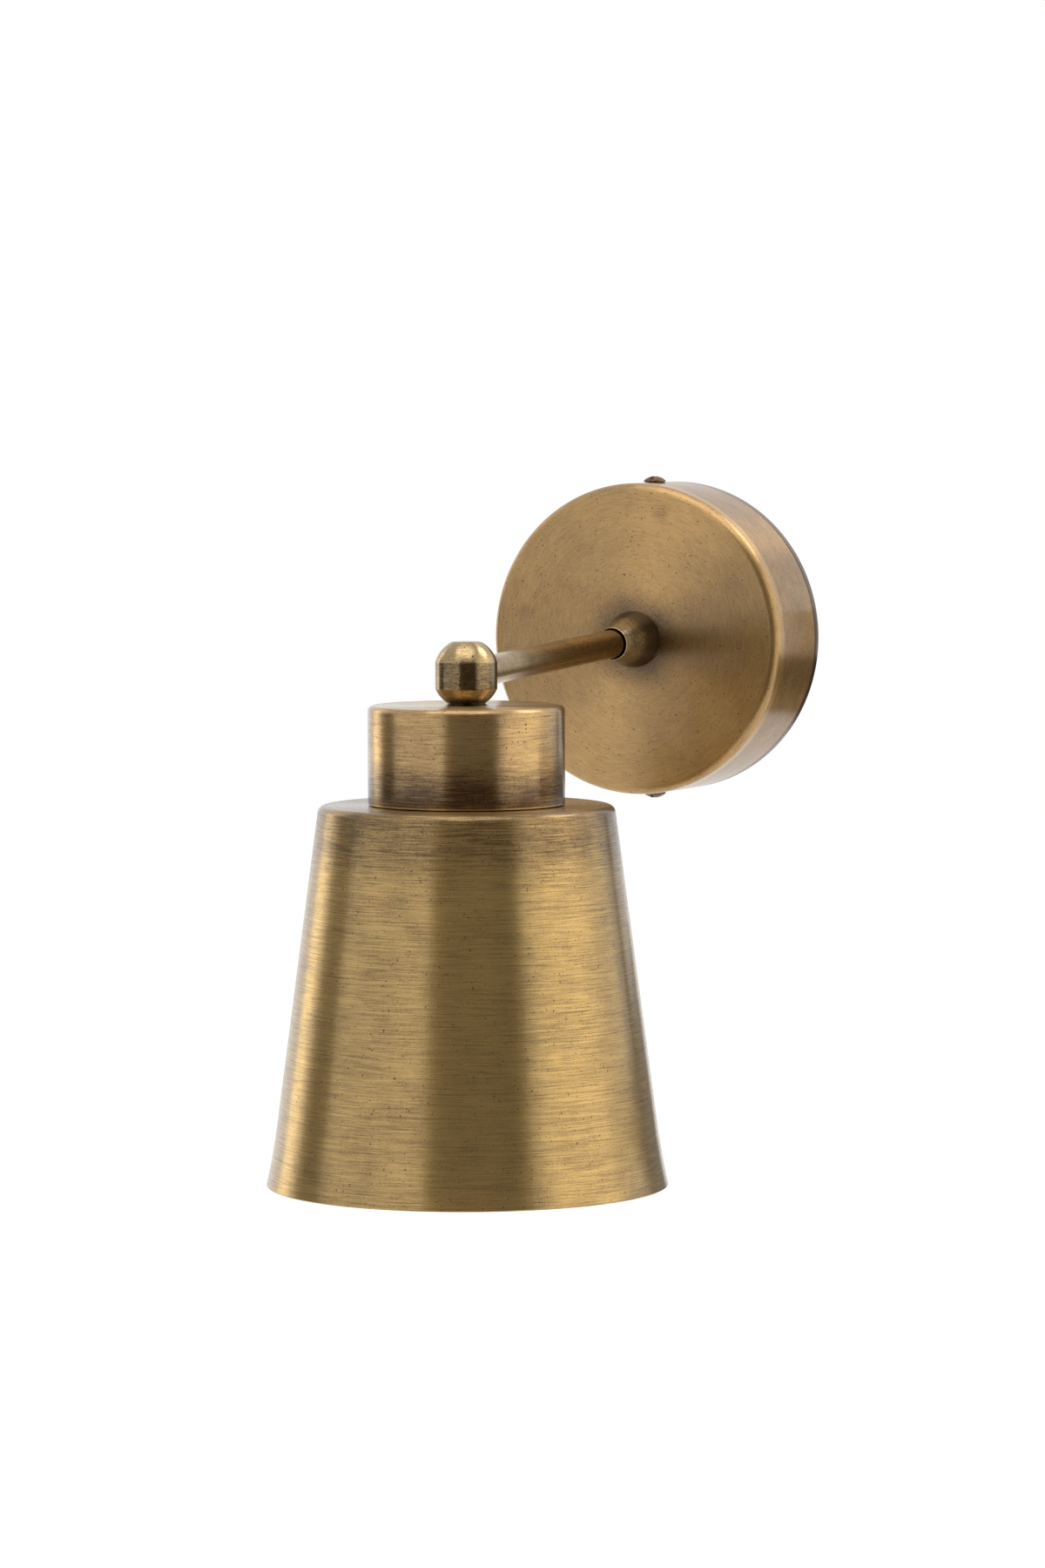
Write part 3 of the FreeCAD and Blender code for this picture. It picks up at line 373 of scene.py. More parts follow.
# %% Brush lines
def brush_lines(tree, at, lengthwise, strokes):
    """Noise drawn out along the brush, and the direction of its lines."""
    drift = 0.0
    if lengthwise:
        squeeze = (1 / BRUSH_LINE, 1 / BRUSH_LINE, 1 / STROKE_LENGTH)
        path = add(tree, "VectorMath", {0: at["point"], 1: squeeze}, operation="MULTIPLY")
        along = add(tree, "CombineXYZ", {"Z": 1.0})
    else:
        height = add(tree, "CombineXYZ", {"Z": at["height"]})
        lines = add(tree, "VectorMath", {0: height.outputs[0], 1: (1 / BRUSH_LINE,) * 3},
                    operation="MULTIPLY")
        path = add(tree, "VectorMath", {0: at["outwards"], 1: (strokes,) * 3, 2: lines.outputs[0]},
                   operation="MULTIPLY_ADD")
        drift = add(tree, "Math", {0: at["radius"], 1: 1 / BRUSH_LINE}, operation="MULTIPLY").outputs[0]
        along = add(tree, "VectorRotate", {"Vector": at["outwards"], "Angle": math.pi / 2},
                    rotation_type="Z_AXIS")
    brush = add(tree, "TexNoise", {"Vector": path.outputs[0], "W": drift, "Scale": 1.0, "Detail": 5.0,
                                   "Roughness": 0.7}, noise_dimensions="4D")
    return brush.outputs[0], along.outputs[0]


# %% Bands painted darker or brighter, and rubbed spots
def darkened(tree, at, level, shades):
    """Level made darker or brighter between heights or radii, for patina, painted shade and highlights."""
    for kind, start, end, amount in shades:
        measure = at["height"] if kind == "Z" else at["radius"]
        darker = add(tree, "MapRange", {"Value": measure, "From Min": start, "From Max": end,
                                        "To Min": 0.0, "To Max": amount}, interpolation_type="SMOOTHSTEP")
        level = add(tree, "Math", {0: level.outputs[0], 1: darker.outputs[0]}, operation="ADD")
    return level


def scuffed(tree, at, level, cloud, grit, scuffs):
    """Level with small rubbed spots, whose ragged edge follows the clouds."""
    for point, reach in scuffs:
        apart = add(tree, "VectorMath", {0: at["frame"], 1: point}, operation="DISTANCE")
        ragged = add(tree, "Math", {0: cloud.outputs[0], 1: -2.4 * reach, 2: apart.outputs["Value"]},
                     operation="MULTIPLY_ADD")
        rubbed = add(tree, "MapRange", {"Value": ragged.outputs[0], "From Min": 0.0,
                                        "From Max": -1.2 * reach, "To Min": 0.0, "To Max": 0.5})
        level = add(tree, "Math", {0: rubbed.outputs[0], 1: grit.outputs[0], 2: level.outputs[0]},
                    operation="MULTIPLY_ADD")
    return level


# %% How much brown is left
def patina(tree, at, brush, cover, streaks, mottle, shades, scuffs):
    """Share of brown on the metal, from lines, clouds, grit and pits, and the grit itself."""
    cloud = add(tree, "TexNoise", {"Vector": at["point"], "Scale": 1 / CLOUD, "Detail": 6.0,
                                   "Roughness": 0.65})
    grit = add(tree, "TexNoise", {"Vector": at["point"], "Scale": 1 / GRIT, "Detail": 2.0,
                                  "Roughness": 0.6})
    spots = add(tree, "TexNoise", {"Vector": at["point"], "Scale": 1 / PIT, "Detail": 0.0})
    pits = add(tree, "MapRange", {"Value": spots.outputs[0], "From Min": PIT_START, "From Max": PIT_FULL})
    middle = cover - (streaks + mottle + GRIT_SHARE) / 2
    level = add(tree, "Math", {0: brush, 1: streaks, 2: middle}, operation="MULTIPLY_ADD")
    level = add(tree, "Math", {0: cloud.outputs[0], 1: mottle, 2: level.outputs[0]},
                operation="MULTIPLY_ADD")
    level = add(tree, "Math", {0: grit.outputs[0], 1: GRIT_SHARE, 2: level.outputs[0]},
                operation="MULTIPLY_ADD")
    level = darkened(tree, at, level, shades)
    level = scuffed(tree, at, level, cloud, grit, scuffs)
    brown = add(tree, "Math", {0: level.outputs[0], 1: pits.outputs[0]}, operation="ADD", use_clamp=True)
    return brown.outputs[0], grit.outputs[0]


# %% The finish
def brushed_brass(name, place, bright="#BA9A68", dark="#523D2A", cover=0.36, rough=0.36, lengthwise=False,
                  strokes=4.0, streaks=2.2, mottle=0.8, lacquer=0.5, shades=(), scuffs=()):
    """Lacquered antique brass, brushed round a place's axis, or along it if lengthwise.

    shades are rows of (Z or R, from, to, darkening), heights and radii from the place. scuffs are rows of
    (point, reach), in the frame.
    """
    material, tree = new_material(name)
    at = round_axis(tree, place)
    brush, along = brush_lines(tree, at, lengthwise, strokes)
    brown, grit = patina(tree, at, brush, cover, streaks, mottle, shades, scuffs)
    colour = add(tree, "Mix", {"Factor": brown, 6: linear(bright), 7: linear(dark)}, data_type="RGBA")
    roughness = add(tree, "Math", {0: brown, 1: BROWN_ROUGHER, 2: rough - BROWN_ROUGHER / 3},
                    operation="MULTIPLY_ADD")
    relief = add(tree, "Math", {0: grit, 1: 0.5, 2: brush}, operation="MULTIPLY_ADD")
    bump = add(tree, "Bump", {"Height": relief.outputs[0], "Strength": 0.6, "Distance": RELIEF})
    turned_back = add(tree, "Mapping", {"Vector": along, "Rotation": at["turn"]}, vector_type="VECTOR")
    tangent = add(tree, "VectorTransform", {"Vector": turned_back.outputs[0]},
                  vector_type="VECTOR", convert_from="OBJECT", convert_to="WORLD")
    shader = add(tree, "BsdfPrincipled", {
        "Base Color": colour.outputs[2], "Metallic": 1.0, "Roughness": roughness.outputs[0],
        "Anisotropic": 0.9, "Anisotropic Rotation": 0.25, "Coat Weight": lacquer, "Coat Roughness": 0.14,
        "Tangent": tangent.outputs[0], "Normal": bump.outputs[0],
    })
    add(tree, "OutputMaterial", {"Surface": shader.outputs[0]})
    print(name, "with", len(tree.nodes), "nodes")
    return material


# %% Brass of each piece
# The wall box: fine grain on its face and two scuffs. Round the collar the face is darker: brown patina,
# with painted shade where the collar meets it. The side wall is darkened as painted shade, and the strip
# behind the lip line is darkest.
brass_box = brushed_brass(
    "brushed_antique_brass_box", WALL, bright="#B6925C", cover=0.2, rough=0.4, strokes=11, streaks=1.2,
    mottle=0.5, lacquer=0.75,
    shades=[("R", 20 * MM, 9.0 * MM, 0.5), ("R", 63 * MM, 64.5 * MM, -0.35), ("Z", 33 * MM, 30 * MM, 0.4),
            ("Z", 3.7 * MM, 3.1 * MM, 1.0)],
    scuffs=[((10 * MM, -canopy_depth, 44 * MM), 4 * MM), ((-42 * MM, -canopy_depth, 10 * MM), 3 * MM)],
)
# The arm: drawn tube, brushed along its length, with large uneven patches of brown.
brass_arm = brushed_brass(
    "brushed_antique_brass_arm", ARM, bright="#BAA072", dark="#4A3B30", cover=0.26, rough=0.3, streaks=1.4,
    mottle=1.6, lengthwise=True,
)
# The collar: turned bar, browner than the rest. Painted shade darkens its foot, where it meets the box,
# and the inside of its mouth, and a painted highlight brightens the rim of its mouth.
brass_collar = brushed_brass(
    "brushed_antique_brass_collar", ARM, bright="#A88A58", dark="#44331F", cover=0.74, streaks=1.8, shades=[
        ("Z", 11 * MM, 1 * MM, 0.9), ("R", 5.65 * MM, 5.55 * MM, 1.5), ("Z", 18.2 * MM, 18.6 * MM, -1.8),
    ],
)
# The ball: turned and polished a little brighter. Its band is darkened as painted shade and dark
# reflection, a thin painted highlight runs just under the band, and painted shade darkens its underside.
brass_ball = brushed_brass(
    "brushed_antique_brass_ball", HEAD, bright="#B89F70", dark="#453424", cover=0.36, rough=0.26,
    streaks=1.6, mottle=0.5, shades=[
        ("Z", 4.6 * MM, 4.2 * MM, 0.35), ("Z", -4.2 * MM, -4.8 * MM, -0.4), ("Z", -6.5 * MM, -9 * MM, 0.6),
    ],
)
# The cup: spun sheet, darker towards its foot, with a thin painted highlight along the foot's edge.
CUP_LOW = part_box("cup")[0].z - ball_centre.z
brass_cup = brushed_brass(
    "brushed_antique_brass_cup", HEAD, cover=0.3, streaks=2.5, shades=[
        ("Z", CUP_LOW + 17 * MM, CUP_LOW + 4 * MM, 0.6),
        ("Z", CUP_LOW + 0.8 * MM, CUP_LOW + 0.3 * MM, -1.2),
    ],
)
# The shade: spun sheet, yellower, brown towards its top edge.
SHADE_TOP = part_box("shade")[1].z - ball_centre.z
brass_shade = brushed_brass(
    "brushed_antique_brass_shade", HEAD, bright="#B99B62", cover=0.31, rough=0.38, streaks=2.6, mottle=0.7,
    shades=[("Z", SHADE_TOP - 25 * MM, SHADE_TOP - 9 * MM, 0.36)],
)


# %% [markdown]
# ## Turning a piece
# A lathe makes a piece by moving a tool along an outline while the work turns. Here the outline is drawn
# vertex by vertex with extrude, closed, and spun once round the axis. Rounded edges are arcs in the
# outline, so the bright line that a pressed edge throws comes from real geometry.

# %% Outlines
def arc(centre, radius, start, finish, steps=6):
    """Points of an arc about (radius, height), its angles in degrees from the outward direction."""
    angles = [math.radians(start + (finish - start) * step / steps) for step in range(steps + 1)]
    return [(centre[0] + radius * math.cos(a), centre[1] + radius * math.sin(a)) for a in angles]


def arc_to(start, finish, radius, steps=10):
    """Points of the arc from start to finish that bulges to the left of the travel, the start left out."""
    first, last = Vector(start), Vector(finish)
    chord = last - first
    rise = math.sqrt(radius ** 2 - chord.length_squared / 4)
    side = math.copysign(1, radius)
    middle = (first + last) / 2 + Vector((chord.y, -chord.x)).normalized() * rise * side
    begin = math.atan2(first.y - middle.y, first.x - middle.x)
    end = math.atan2(last.y - middle.y, last.x - middle.x)
    sweep = (end - begin + math.pi) % math.tau - math.pi
    return [
        (middle.x + abs(radius) * math.cos(begin + sweep * step / steps),
         middle.y + abs(radius) * math.sin(begin + sweep * step / steps))
        for step in range(1, steps + 1)
    ]


# %% Spin an outline
def select_ends(piece):
    """Select only the first and the last vertex of a drawn outline."""
    bpy.ops.mesh.select_all(action="DESELECT")
    mesh = bmesh.from_edit_mesh(piece.data)
    for vertex in mesh.verts:
        vertex.select = len(vertex.link_edges) == 1
    mesh.select_flush(True)
    bmesh.update_edit_mesh(piece.data)


def turned(name, outline, place, steps=160, closed=True):
    """Spin an outline of (radius, height) once round a place's axis."""
    origin, axis, across = place
    points = [origin + across * radius + axis * height for radius, height in outline]
    clear_selection()
    bpy.ops.mesh.primitive_plane_add(size=MM, location=points[0])
    piece = bpy.context.object
    piece.name = piece.data.name = name
    bpy.ops.object.transform_apply(location=True, rotation=True, scale=True)
    bpy.ops.object.mode_set(mode="EDIT")
    bpy.ops.mesh.select_all(action="SELECT")
    bpy.ops.mesh.merge(type="CENTER")
    for start, finish in zip(points, points[1:]):
        bpy.ops.mesh.extrude_vertices_move(TRANSFORM_OT_translate={"value": finish - start})
    if closed:
        select_ends(piece)
        bpy.ops.mesh.edge_face_add()
    bpy.ops.mesh.select_all(action="SELECT")
    bpy.ops.mesh.spin(steps=steps, angle=math.tau, center=origin, axis=axis, use_auto_merge=True)
    bpy.ops.mesh.select_all(action="SELECT")
    bpy.ops.mesh.remove_doubles(threshold=0.002 * MM)
    bpy.ops.mesh.normals_make_consistent(inside=False)
    bpy.ops.object.mode_set(mode="OBJECT")
    smooth(piece)
    return piece


# %% Shading and finishing
def smooth(piece, angle=35):
    """Smooth shading that stays crisp across sharp edges."""
    clear_selection()
    piece.select_set(True)
    bpy.context.view_layer.objects.active = piece
    bpy.ops.object.shade_smooth_by_angle(angle=math.radians(angle))


def finish(piece, material, body, slot, *nodes):
    """Give a piece its material, its body and the nodes that it stands for."""
    piece.data.materials.clear()
    piece.data.materials.append(material)
    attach(piece, body)
    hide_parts(*nodes)
    print(f"{piece.name}: {len(piece.data.polygons)} faces, rides on {body}")
    return piece


# %% [markdown]
# ## Drills, saws and modifiers
# Each modifier is applied at once, so that a piece stays a plain mesh. Holes are drilled with rods and
# slots are sawn with blocks, by Boolean difference, in the order of the work on the bench.

# %% Modifiers, cutting and rods
def shaped(piece, kind, **settings):
    """Add a modifier with its settings and apply it."""
    clear_selection()
    piece.select_set(True)
    bpy.context.view_layer.objects.active = piece
    change = piece.modifiers.new(kind.lower(), kind)
    for name, value in settings.items():
        setattr(change, name, value)
    bpy.ops.object.modifier_apply(modifier=change.name)
    return piece


def cut(piece, tool, operation="DIFFERENCE"):
    """Take a tool out of a piece, or join the two with UNION."""
    shaped(piece, "BOOLEAN", object=tool, operation=operation, solver="EXACT")
    bpy.data.objects.remove(tool)
    return piece


def rod(name, radius, place, start, end, sides=40):
    """Round bar along a place's axis, from one height to another."""
    origin, axis, _ = place
    clear_selection()
    bpy.ops.mesh.primitive_cylinder_add(
        vertices=sides, radius=radius, depth=end - start, location=origin + axis * (start + end) / 2,
        rotation=axis.to_track_quat("Z", "Y").to_euler(),
    )
    bar = bpy.context.object
    bar.name = bar.data.name = name
    bpy.ops.object.transform_apply(location=True, rotation=True, scale=True)
    return bar


def block(name, centre, size):
    """Box of a size about a centre."""
    clear_selection()
    bpy.ops.mesh.primitive_cube_add(size=1, location=centre)
    box = bpy.context.object
    box.name = box.data.name = name
    box.scale = size
    bpy.ops.object.transform_apply(location=True, rotation=True, scale=True)
    return box


# %% [markdown]
# ## The wall box
# The box is a round pressing with a flat face, a rounded front edge, a straight wall and a lip line near
# the wall. A cylinder with a bevelled edge would look alike from the front, but the open back would show
# no sheet. So the outline goes round the sheet, inside and outside, and the two side holes are drilled at
# the end.

# %% The wall box
WALL_SHEET = 1.2 * MM
BOX_EDGE = 3.2 * MM
LIP = 3.2 * MM
GROOVE = 0.3 * MM
BOX_HOLE = 5.6 * MM
SIDE_HOLE = 2.15 * MM
SIDE_SCREW_DEPTH = (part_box("canopy_screw_top")[0].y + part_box("canopy_screw_top")[1].y) / 2


def make_box():
    """Pressed round box with a rounded front edge and a lip line near the wall."""
    inner = canopy_radius - WALL_SHEET
    fold = 0.25 * MM
    outline = [
        (canopy_radius - fold, 0),
        *arc((canopy_radius - fold, fold), fold, -45, 0, 3),
        (canopy_radius, LIP), (canopy_radius - GROOVE, LIP + GROOVE), (canopy_radius, LIP + 2 * GROOVE),
        *arc((canopy_radius - BOX_EDGE, canopy_depth - BOX_EDGE), BOX_EDGE, 0, 90, 14),
        (BOX_HOLE, canopy_depth), (BOX_HOLE, canopy_depth - WALL_SHEET),
        *arc((canopy_radius - BOX_EDGE, canopy_depth - BOX_EDGE), BOX_EDGE - WALL_SHEET, 90, 0, 8),
        (inner, 0),
    ]
    box = turned("wall_box", outline, WALL, steps=224)
    screw_seat = (Vector((0, SIDE_SCREW_DEPTH, 0)), UP, ACROSS)
    for side in (-1, 1):
        ends = sorted((side * (canopy_radius - 4 * MM), side * (canopy_radius + 2 * MM)))
        cut(box, rod("side_hole_drill", SIDE_HOLE, screw_seat, *ends))
    smooth(box)
    return finish(box, brass_box, "wall_mount", "aged_brass", "canopy")


make_box()

# %% [markdown]
# ## The cup and the shade
# Both are spun sheet. The cup's top edge is well rounded, and its foot only by a hair. The shade is a
# cone whose last 20 mm flare a little: the flare's arc is worked out from its length and its width, so
# that it leaves the cone without a kink. Plain cones would lack the round edges that catch the light.

# %% The cup
CUP_SHEET = 1.0 * MM
CUP_EDGE = 1.8 * MM
NIPPLE_HOLE = 5.05 * MM


def heights(node):
    """Lowest and highest point of a node, from the ball's centre."""
    low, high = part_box(node)
    return low.z - ball_centre.z, high.z - ball_centre.z


def make_cup():
    """Pressed cup over the lampholder, its foot a hair above the shade."""
    low, top = heights("cup")
    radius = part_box("cup")[1].x
    foot = 0.35 * MM
    outline = [
        (NIPPLE_HOLE, top - CUP_SHEET), (NIPPLE_HOLE, top),
        *arc((radius - CUP_EDGE, top - CUP_EDGE), CUP_EDGE, 90, 0, 10),
        *arc((radius - foot, low + foot), foot, 0, -90, 4),
        (radius - CUP_SHEET, low),
        *arc((radius - CUP_EDGE, top - CUP_EDGE), CUP_EDGE - CUP_SHEET, 0, 90, 6),
    ]
    cup = turned("cup_shell", outline, HEAD, steps=192)
    return finish(cup, brass_cup, "head", "aged_brass", "cup")


make_cup()

# %% The shade
SHADE_SHEET = 1.0 * MM
SHADE_EDGE = 2.5 * MM
SHADE_TOP_RADIUS = 49.3 * MM
SHADE_RIM_RADIUS = 66.2 * MM
SHADE_HOLE = 19.9 * MM
FLARE = 20 * MM


def make_shade():
    """Spun cone with a flat top and a slightly flared rim."""
    low, top = heights("shade")
    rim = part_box("shade")[1].x
    spread = (SHADE_RIM_RADIUS - SHADE_TOP_RADIUS) / (top - low)
    lean = math.degrees(math.atan(spread))
    at_flare = SHADE_RIM_RADIUS - spread * FLARE
    bow = (FLARE ** 2 + (rim - SHADE_RIM_RADIUS) ** 2) / (2 * (rim - SHADE_RIM_RADIUS))
    corner = SHADE_TOP_RADIUS - SHADE_EDGE * (1 / math.cos(math.radians(lean)) - spread)
    hem = 0.3 * MM
    outline = [
        (SHADE_HOLE, top - SHADE_SHEET), (SHADE_HOLE, top),
        *arc((corner, top - SHADE_EDGE), SHADE_EDGE, 90, lean, 10),
        (at_flare, low + FLARE),
        *arc_to((at_flare, low + FLARE), (rim, low + hem), -bow, 8),
        (rim - hem, low), (rim - SHADE_SHEET + hem, low), (rim - SHADE_SHEET, low + hem),
        *arc_to((rim - SHADE_SHEET, low + hem), (at_flare - SHADE_SHEET, low + FLARE), bow, 8),
        *arc((corner, top - SHADE_EDGE), SHADE_EDGE - SHADE_SHEET, lean, 90, 6),
    ]
    cone = turned("cone_shade", outline, HEAD, steps=256)
    return finish(cone, brass_shade, "head", "aged_brass", "shade")


make_shade()

# %% [markdown]
# ## The ball
# The ball was turned from bar with a flat band round its middle and a flat top, then drilled from the
# side for the arm and from below for the threaded tube. A sphere with cuts would need each edge rounded
# by itself, so the whole profile is one outline, with a shallow corner at each edge.

# %% The ball
BALL_BAND = 10.35 * MM
BAND_HALF = 4.4 * MM
TUBE_BORE = 5.05 * MM
TUBE_DEPTH = 6.0 * MM


def make_ball():
    """Ball with a flat band and a flat top, rounded a little at every edge."""
    low, top = heights("ball_knuckle")
    outline = [
        (0, top), (4.5 * MM, top), (4.9 * MM, top - 0.12 * MM),
        *arc_to((4.9 * MM, top - 0.12 * MM), (BALL_BAND - 0.05 * MM, BAND_HALF + 0.15 * MM), 10.8 * MM, 14),
        (BALL_BAND, BAND_HALF - 0.15 * MM), (BALL_BAND, -BAND_HALF + 0.15 * MM),
        (BALL_BAND - 0.05 * MM, -BAND_HALF - 0.15 * MM),
        *arc_to((BALL_BAND - 0.05 * MM, -BAND_HALF - 0.15 * MM), (6.4 * MM, low), 11.0 * MM, 12),
        (NIPPLE_HOLE, low), (NIPPLE_HOLE, low + 6.2 * MM), (0, low + 6.2 * MM),
    ]
    ball = turned("ball_knuckle_turned", outline, HEAD, steps=128, closed=False)
    cut(ball, rod("arm_bore_drill", TUBE_BORE, ARM, arm_reach - 14 * MM, arm_reach - TUBE_DEPTH, sides=96))
    smooth(ball)
    return finish(ball, brass_ball, "wall_mount", "aged_brass", "ball_knuckle")


make_ball()

# %% [markdown]
# ## The arm and its collar
# The arm is plain drawn tube, so its brush marks run along it. The collar is turned: a cone that is wide
# where it meets the box and hardly wider than the tube at its mouth, with a small gap round the tube that
# reads as a dark ring. Its foot is scaled flat on the box's face, because the arm falls a little.

# %% Arm tube
TUBE_RADIUS = 5.0 * MM
TUBE_BURR = 0.4 * MM


def make_arm():
    """Drawn tube from inside the box into the ball."""
    start, end, inner = -15 * MM, arm_reach - TUBE_DEPTH, 4.0 * MM
    outline = [
        (inner, start), (TUBE_RADIUS - TUBE_BURR, start), (TUBE_RADIUS, start + TUBE_BURR),
        (TUBE_RADIUS, end - TUBE_BURR), (TUBE_RADIUS - TUBE_BURR, end), (inner, end),
    ]
    tube = turned("arm_drawn_tube", outline, ARM, steps=96)
    return finish(tube, brass_arm, "wall_mount", "aged_brass", "arm_tube")


make_arm()

# %% Collar
COLLAR_FOOT = 9.9 * MM
COLLAR_MOUTH = 5.75 * MM
COLLAR_LENGTH = 18.6 * MM


def make_collar():
    """Turned cone on the box's face, open round the tube at its mouth."""
    step, bore, mouth = 11.6 * MM, 5.05 * MM, 5.55 * MM
    edge = 1.2 * MM
    rise = COLLAR_LENGTH - 1.4 * MM
    lean = math.degrees(math.atan((COLLAR_FOOT - COLLAR_MOUTH) / rise))
    outline = [
        (bore, 0), (COLLAR_FOOT - 0.2 * MM, 0), (COLLAR_FOOT, 0.2 * MM),
        *arc((COLLAR_FOOT - edge, 1.2 * MM), edge, 0, lean, 3),
        (COLLAR_MOUTH + 0.02 * MM, COLLAR_LENGTH - 0.15 * MM), (COLLAR_MOUTH - 0.1 * MM, COLLAR_LENGTH),
        (mouth, COLLAR_LENGTH), (mouth, step), (bore, step),
    ]
    collar = turned("collar_cone", outline, ARM, steps=128)
    bpy.ops.object.mode_set(mode="EDIT")
    bpy.ops.mesh.select_all(action="DESELECT")
    mesh = bmesh.from_edit_mesh(collar.data)
    for vertex in mesh.verts:
        vertex.select = (vertex.co - arm_start).dot(arm_axis) < 0.05 * MM
    mesh.select_flush(True)
    bpy.ops.transform.resize(value=(1, 0, 1), center_override=arm_start)
    bpy.ops.object.mode_set(mode="OBJECT")
    return finish(collar, brass_collar, "wall_mount", "aged_brass", "arm_collar")


make_collar()

# %% Flared washer under the ball
def make_neck_washer():
    """Small washer whose edge flares from the ball down to the cup."""
    top, low = heights("neck_washer")[1], heights("neck_washer")[0]
    neck, skirt = 6.3 * MM, 7.4 * MM
    foot = 0.12 * MM
    outline = [
        (NIPPLE_HOLE, low), (NIPPLE_HOLE, top), (neck, top),
        *arc_to((neck, top), (skirt, low + foot), -1.2 * MM, 6), (skirt, low),
    ]
    washer = turned("neck_washer_turned", outline, HEAD, steps=96)
    return finish(washer, brass_ball, "head", "aged_brass", "neck_washer")


make_neck_washer()

# %% [markdown]
# ## The box's screws
# Two slotted screws hold the box to its strap. A slotted head is a low dome that was turned and then sawn
# once. The shank carries its thread: the wall of the bar is pressed in along a helix, a rule worked out
# for each vertex, so the groove climbs as a real thread does. The heads are brass that was left in the
# pickle.

# %% Threads
def roll_thread(piece, place, low, high, pitch, depth, least=0.0, most=1.0):
    """Press a helical groove into the walls between two heights and two radii, fading at its ends."""
    origin, axis, across = place
    side = axis.cross(across)
    for vertex in piece.data.vertices:
        reach = vertex.co - origin
        height = reach.dot(axis)
        flat = reach - axis * height
        if low < height < high and least < flat.length < most:
            turns = math.atan2(flat.dot(side), flat.dot(across)) / math.tau
            fade = min(1, (height - low) / pitch, (high - height) / pitch)
            wave = 0.5 - 0.5 * math.cos(math.tau * (height / pitch - turns))
            vertex.co -= flat.normalized() * depth * fade * wave
    piece.data.update()


def ladder(radius, start, end, step):
    """Points up or down a straight wall, close enough together to take a thread."""
    count = max(2, round(abs(end - start) / step))
    return [(radius, start + (end - start) * index / count) for index in range(count + 1)]


# %% Slotted screws
SLOT_WIDTH = 0.26
SLOT_DEPTH = 0.5


def slotted_screw(name, place, shank, length, head, rise, pitch, slot_along):
    """Domed screw along a place's axis, its head's underside at height 0."""
    origin, axis, _ = place
    rim, burr = 0.3 * rise, 0.12 * rise
    dome = (head ** 2 + (rise - rim) ** 2) / (2 * (rise - rim))
    outline = [
        (0, -length), (shank * 0.75, -length), *ladder(shank, -length + shank * 0.25, 0, pitch / 8),
        (head - burr, 0), (head, burr), (head, rim),
        *arc_to((head, rim), (0, rise), -dome, 12),
    ]
    screw = turned(name, outline, place, steps=64, closed=False)
    roll_thread(screw, place, -length + 0.3 * shank, -0.4 * shank, pitch, 0.16 * shank, least=0.9 * shank)
    depth = SLOT_DEPTH * rise
    kerf = slot_along * head * 3 + axis.cross(slot_along) * head * SLOT_WIDTH + axis * (rise + depth)
    cut(screw, block("slot_saw", origin + axis * (3 * rise - depth) / 2, [abs(side) for side in kerf]))
    smooth(screw)
    return screw


# Pickled brass: the screws kept most of the brown, because nobody brushed them.
brass_screw = brushed_brass(
    "pickled_brass_screw", HEAD, bright="#8A6C48", dark="#2E2118", cover=0.6, rough=0.42,
)


def make_side_screws():
    """The screws above and below the box."""
    head, rise, shank, length = 3.9 * MM, 2.2 * MM, 2.0 * MM, 9.0 * MM
    for name, side in (("top", 1), ("bottom", -1)):
        node = "canopy_screw_" + name
        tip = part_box(node)[1 if side > 0 else 0].z
        seat = (Vector((0, SIDE_SCREW_DEPTH, tip - side * rise)), UP * side, ACROSS)
        screw = slotted_screw("box_screw_" + name, seat, shank, length, head, rise, 0.7 * MM, OUT)
        finish(screw, brass_screw, name + "_screw", "aged_brass", node)


make_side_screws()

# %% [markdown]
# ## Finishes of the working parts
# The parts inside are not dressed for show, and each keeps the finish that its maker gave it: drawn brass
# for what carries current, zinc plate for the steel, moulded resin for the holder, glazed ceramic for its
# core, natural nylon for the block and soft plastic round the wires. All of them are two close colours in
# soft patches, with a fine bump, so one function makes them and their numbers tell them apart.

# %% Plain finishes
def plain_finish(name, light, dark, patch, rough, grain, depth, metallic=0.0, ior=None, coat=0.0, spread=0.1):
    """Finish of two close colours in patches of a size, with a fine grain of a size and a depth."""
    material, tree = new_material(name)
    where = add(tree, "TexCoord")
    patches = add(tree, "TexNoise", {"Vector": where.outputs["Object"], "Scale": 1 / patch, "Detail": 4.0})
    fine = add(tree, "TexNoise", {"Vector": where.outputs["Object"], "Scale": 1 / grain, "Detail": 2.0})
    level = add(tree, "Math", {0: fine.outputs[0], 1: 0.5, 2: patches.outputs[0]}, operation="MULTIPLY_ADD")
    share = add(tree, "MapRange", {"Value": level.outputs[0], "From Min": 0.5, "From Max": 1.0})
    colour = add(tree, "Mix", {"Factor": share.outputs[0], 6: linear(light), 7: linear(dark)},
                 data_type="RGBA")
    roughness = add(tree, "Math", {0: share.outputs[0], 1: spread, 2: rough}, operation="MULTIPLY_ADD")
    bump = add(tree, "Bump", {"Height": fine.outputs[0], "Strength": 0.5, "Distance": depth})
    shader = add(tree, "BsdfPrincipled", {
        "Base Color": colour.outputs[2], "Metallic": metallic, "Roughness": roughness.outputs[0],
        "Coat Weight": coat, "Normal": bump.outputs[0],
    })
    if ior:
        shader.inputs["IOR"].default_value = ior
    add(tree, "OutputMaterial", {"Surface": shader.outputs[0]})
    return material


# %% Finishes of metal
# Drawn brass: yellow, satin, a little dull where it was handled.
drawn_brass = plain_finish(
    "drawn_brass", "#D2AC66", "#A9824A", patch=6 * MM, rough=0.24, grain=0.4 * MM, depth=0.006 * MM,
    metallic=1.0,
)
# Zinc plate on steel: bluish white with soft cloudy patches.
zinc_plate = plain_finish(
    "zinc_plated_steel", "#C6CACC", "#94999D", patch=5 * MM, rough=0.3, grain=0.5 * MM, depth=0.01 * MM,
    metallic=1.0,
)
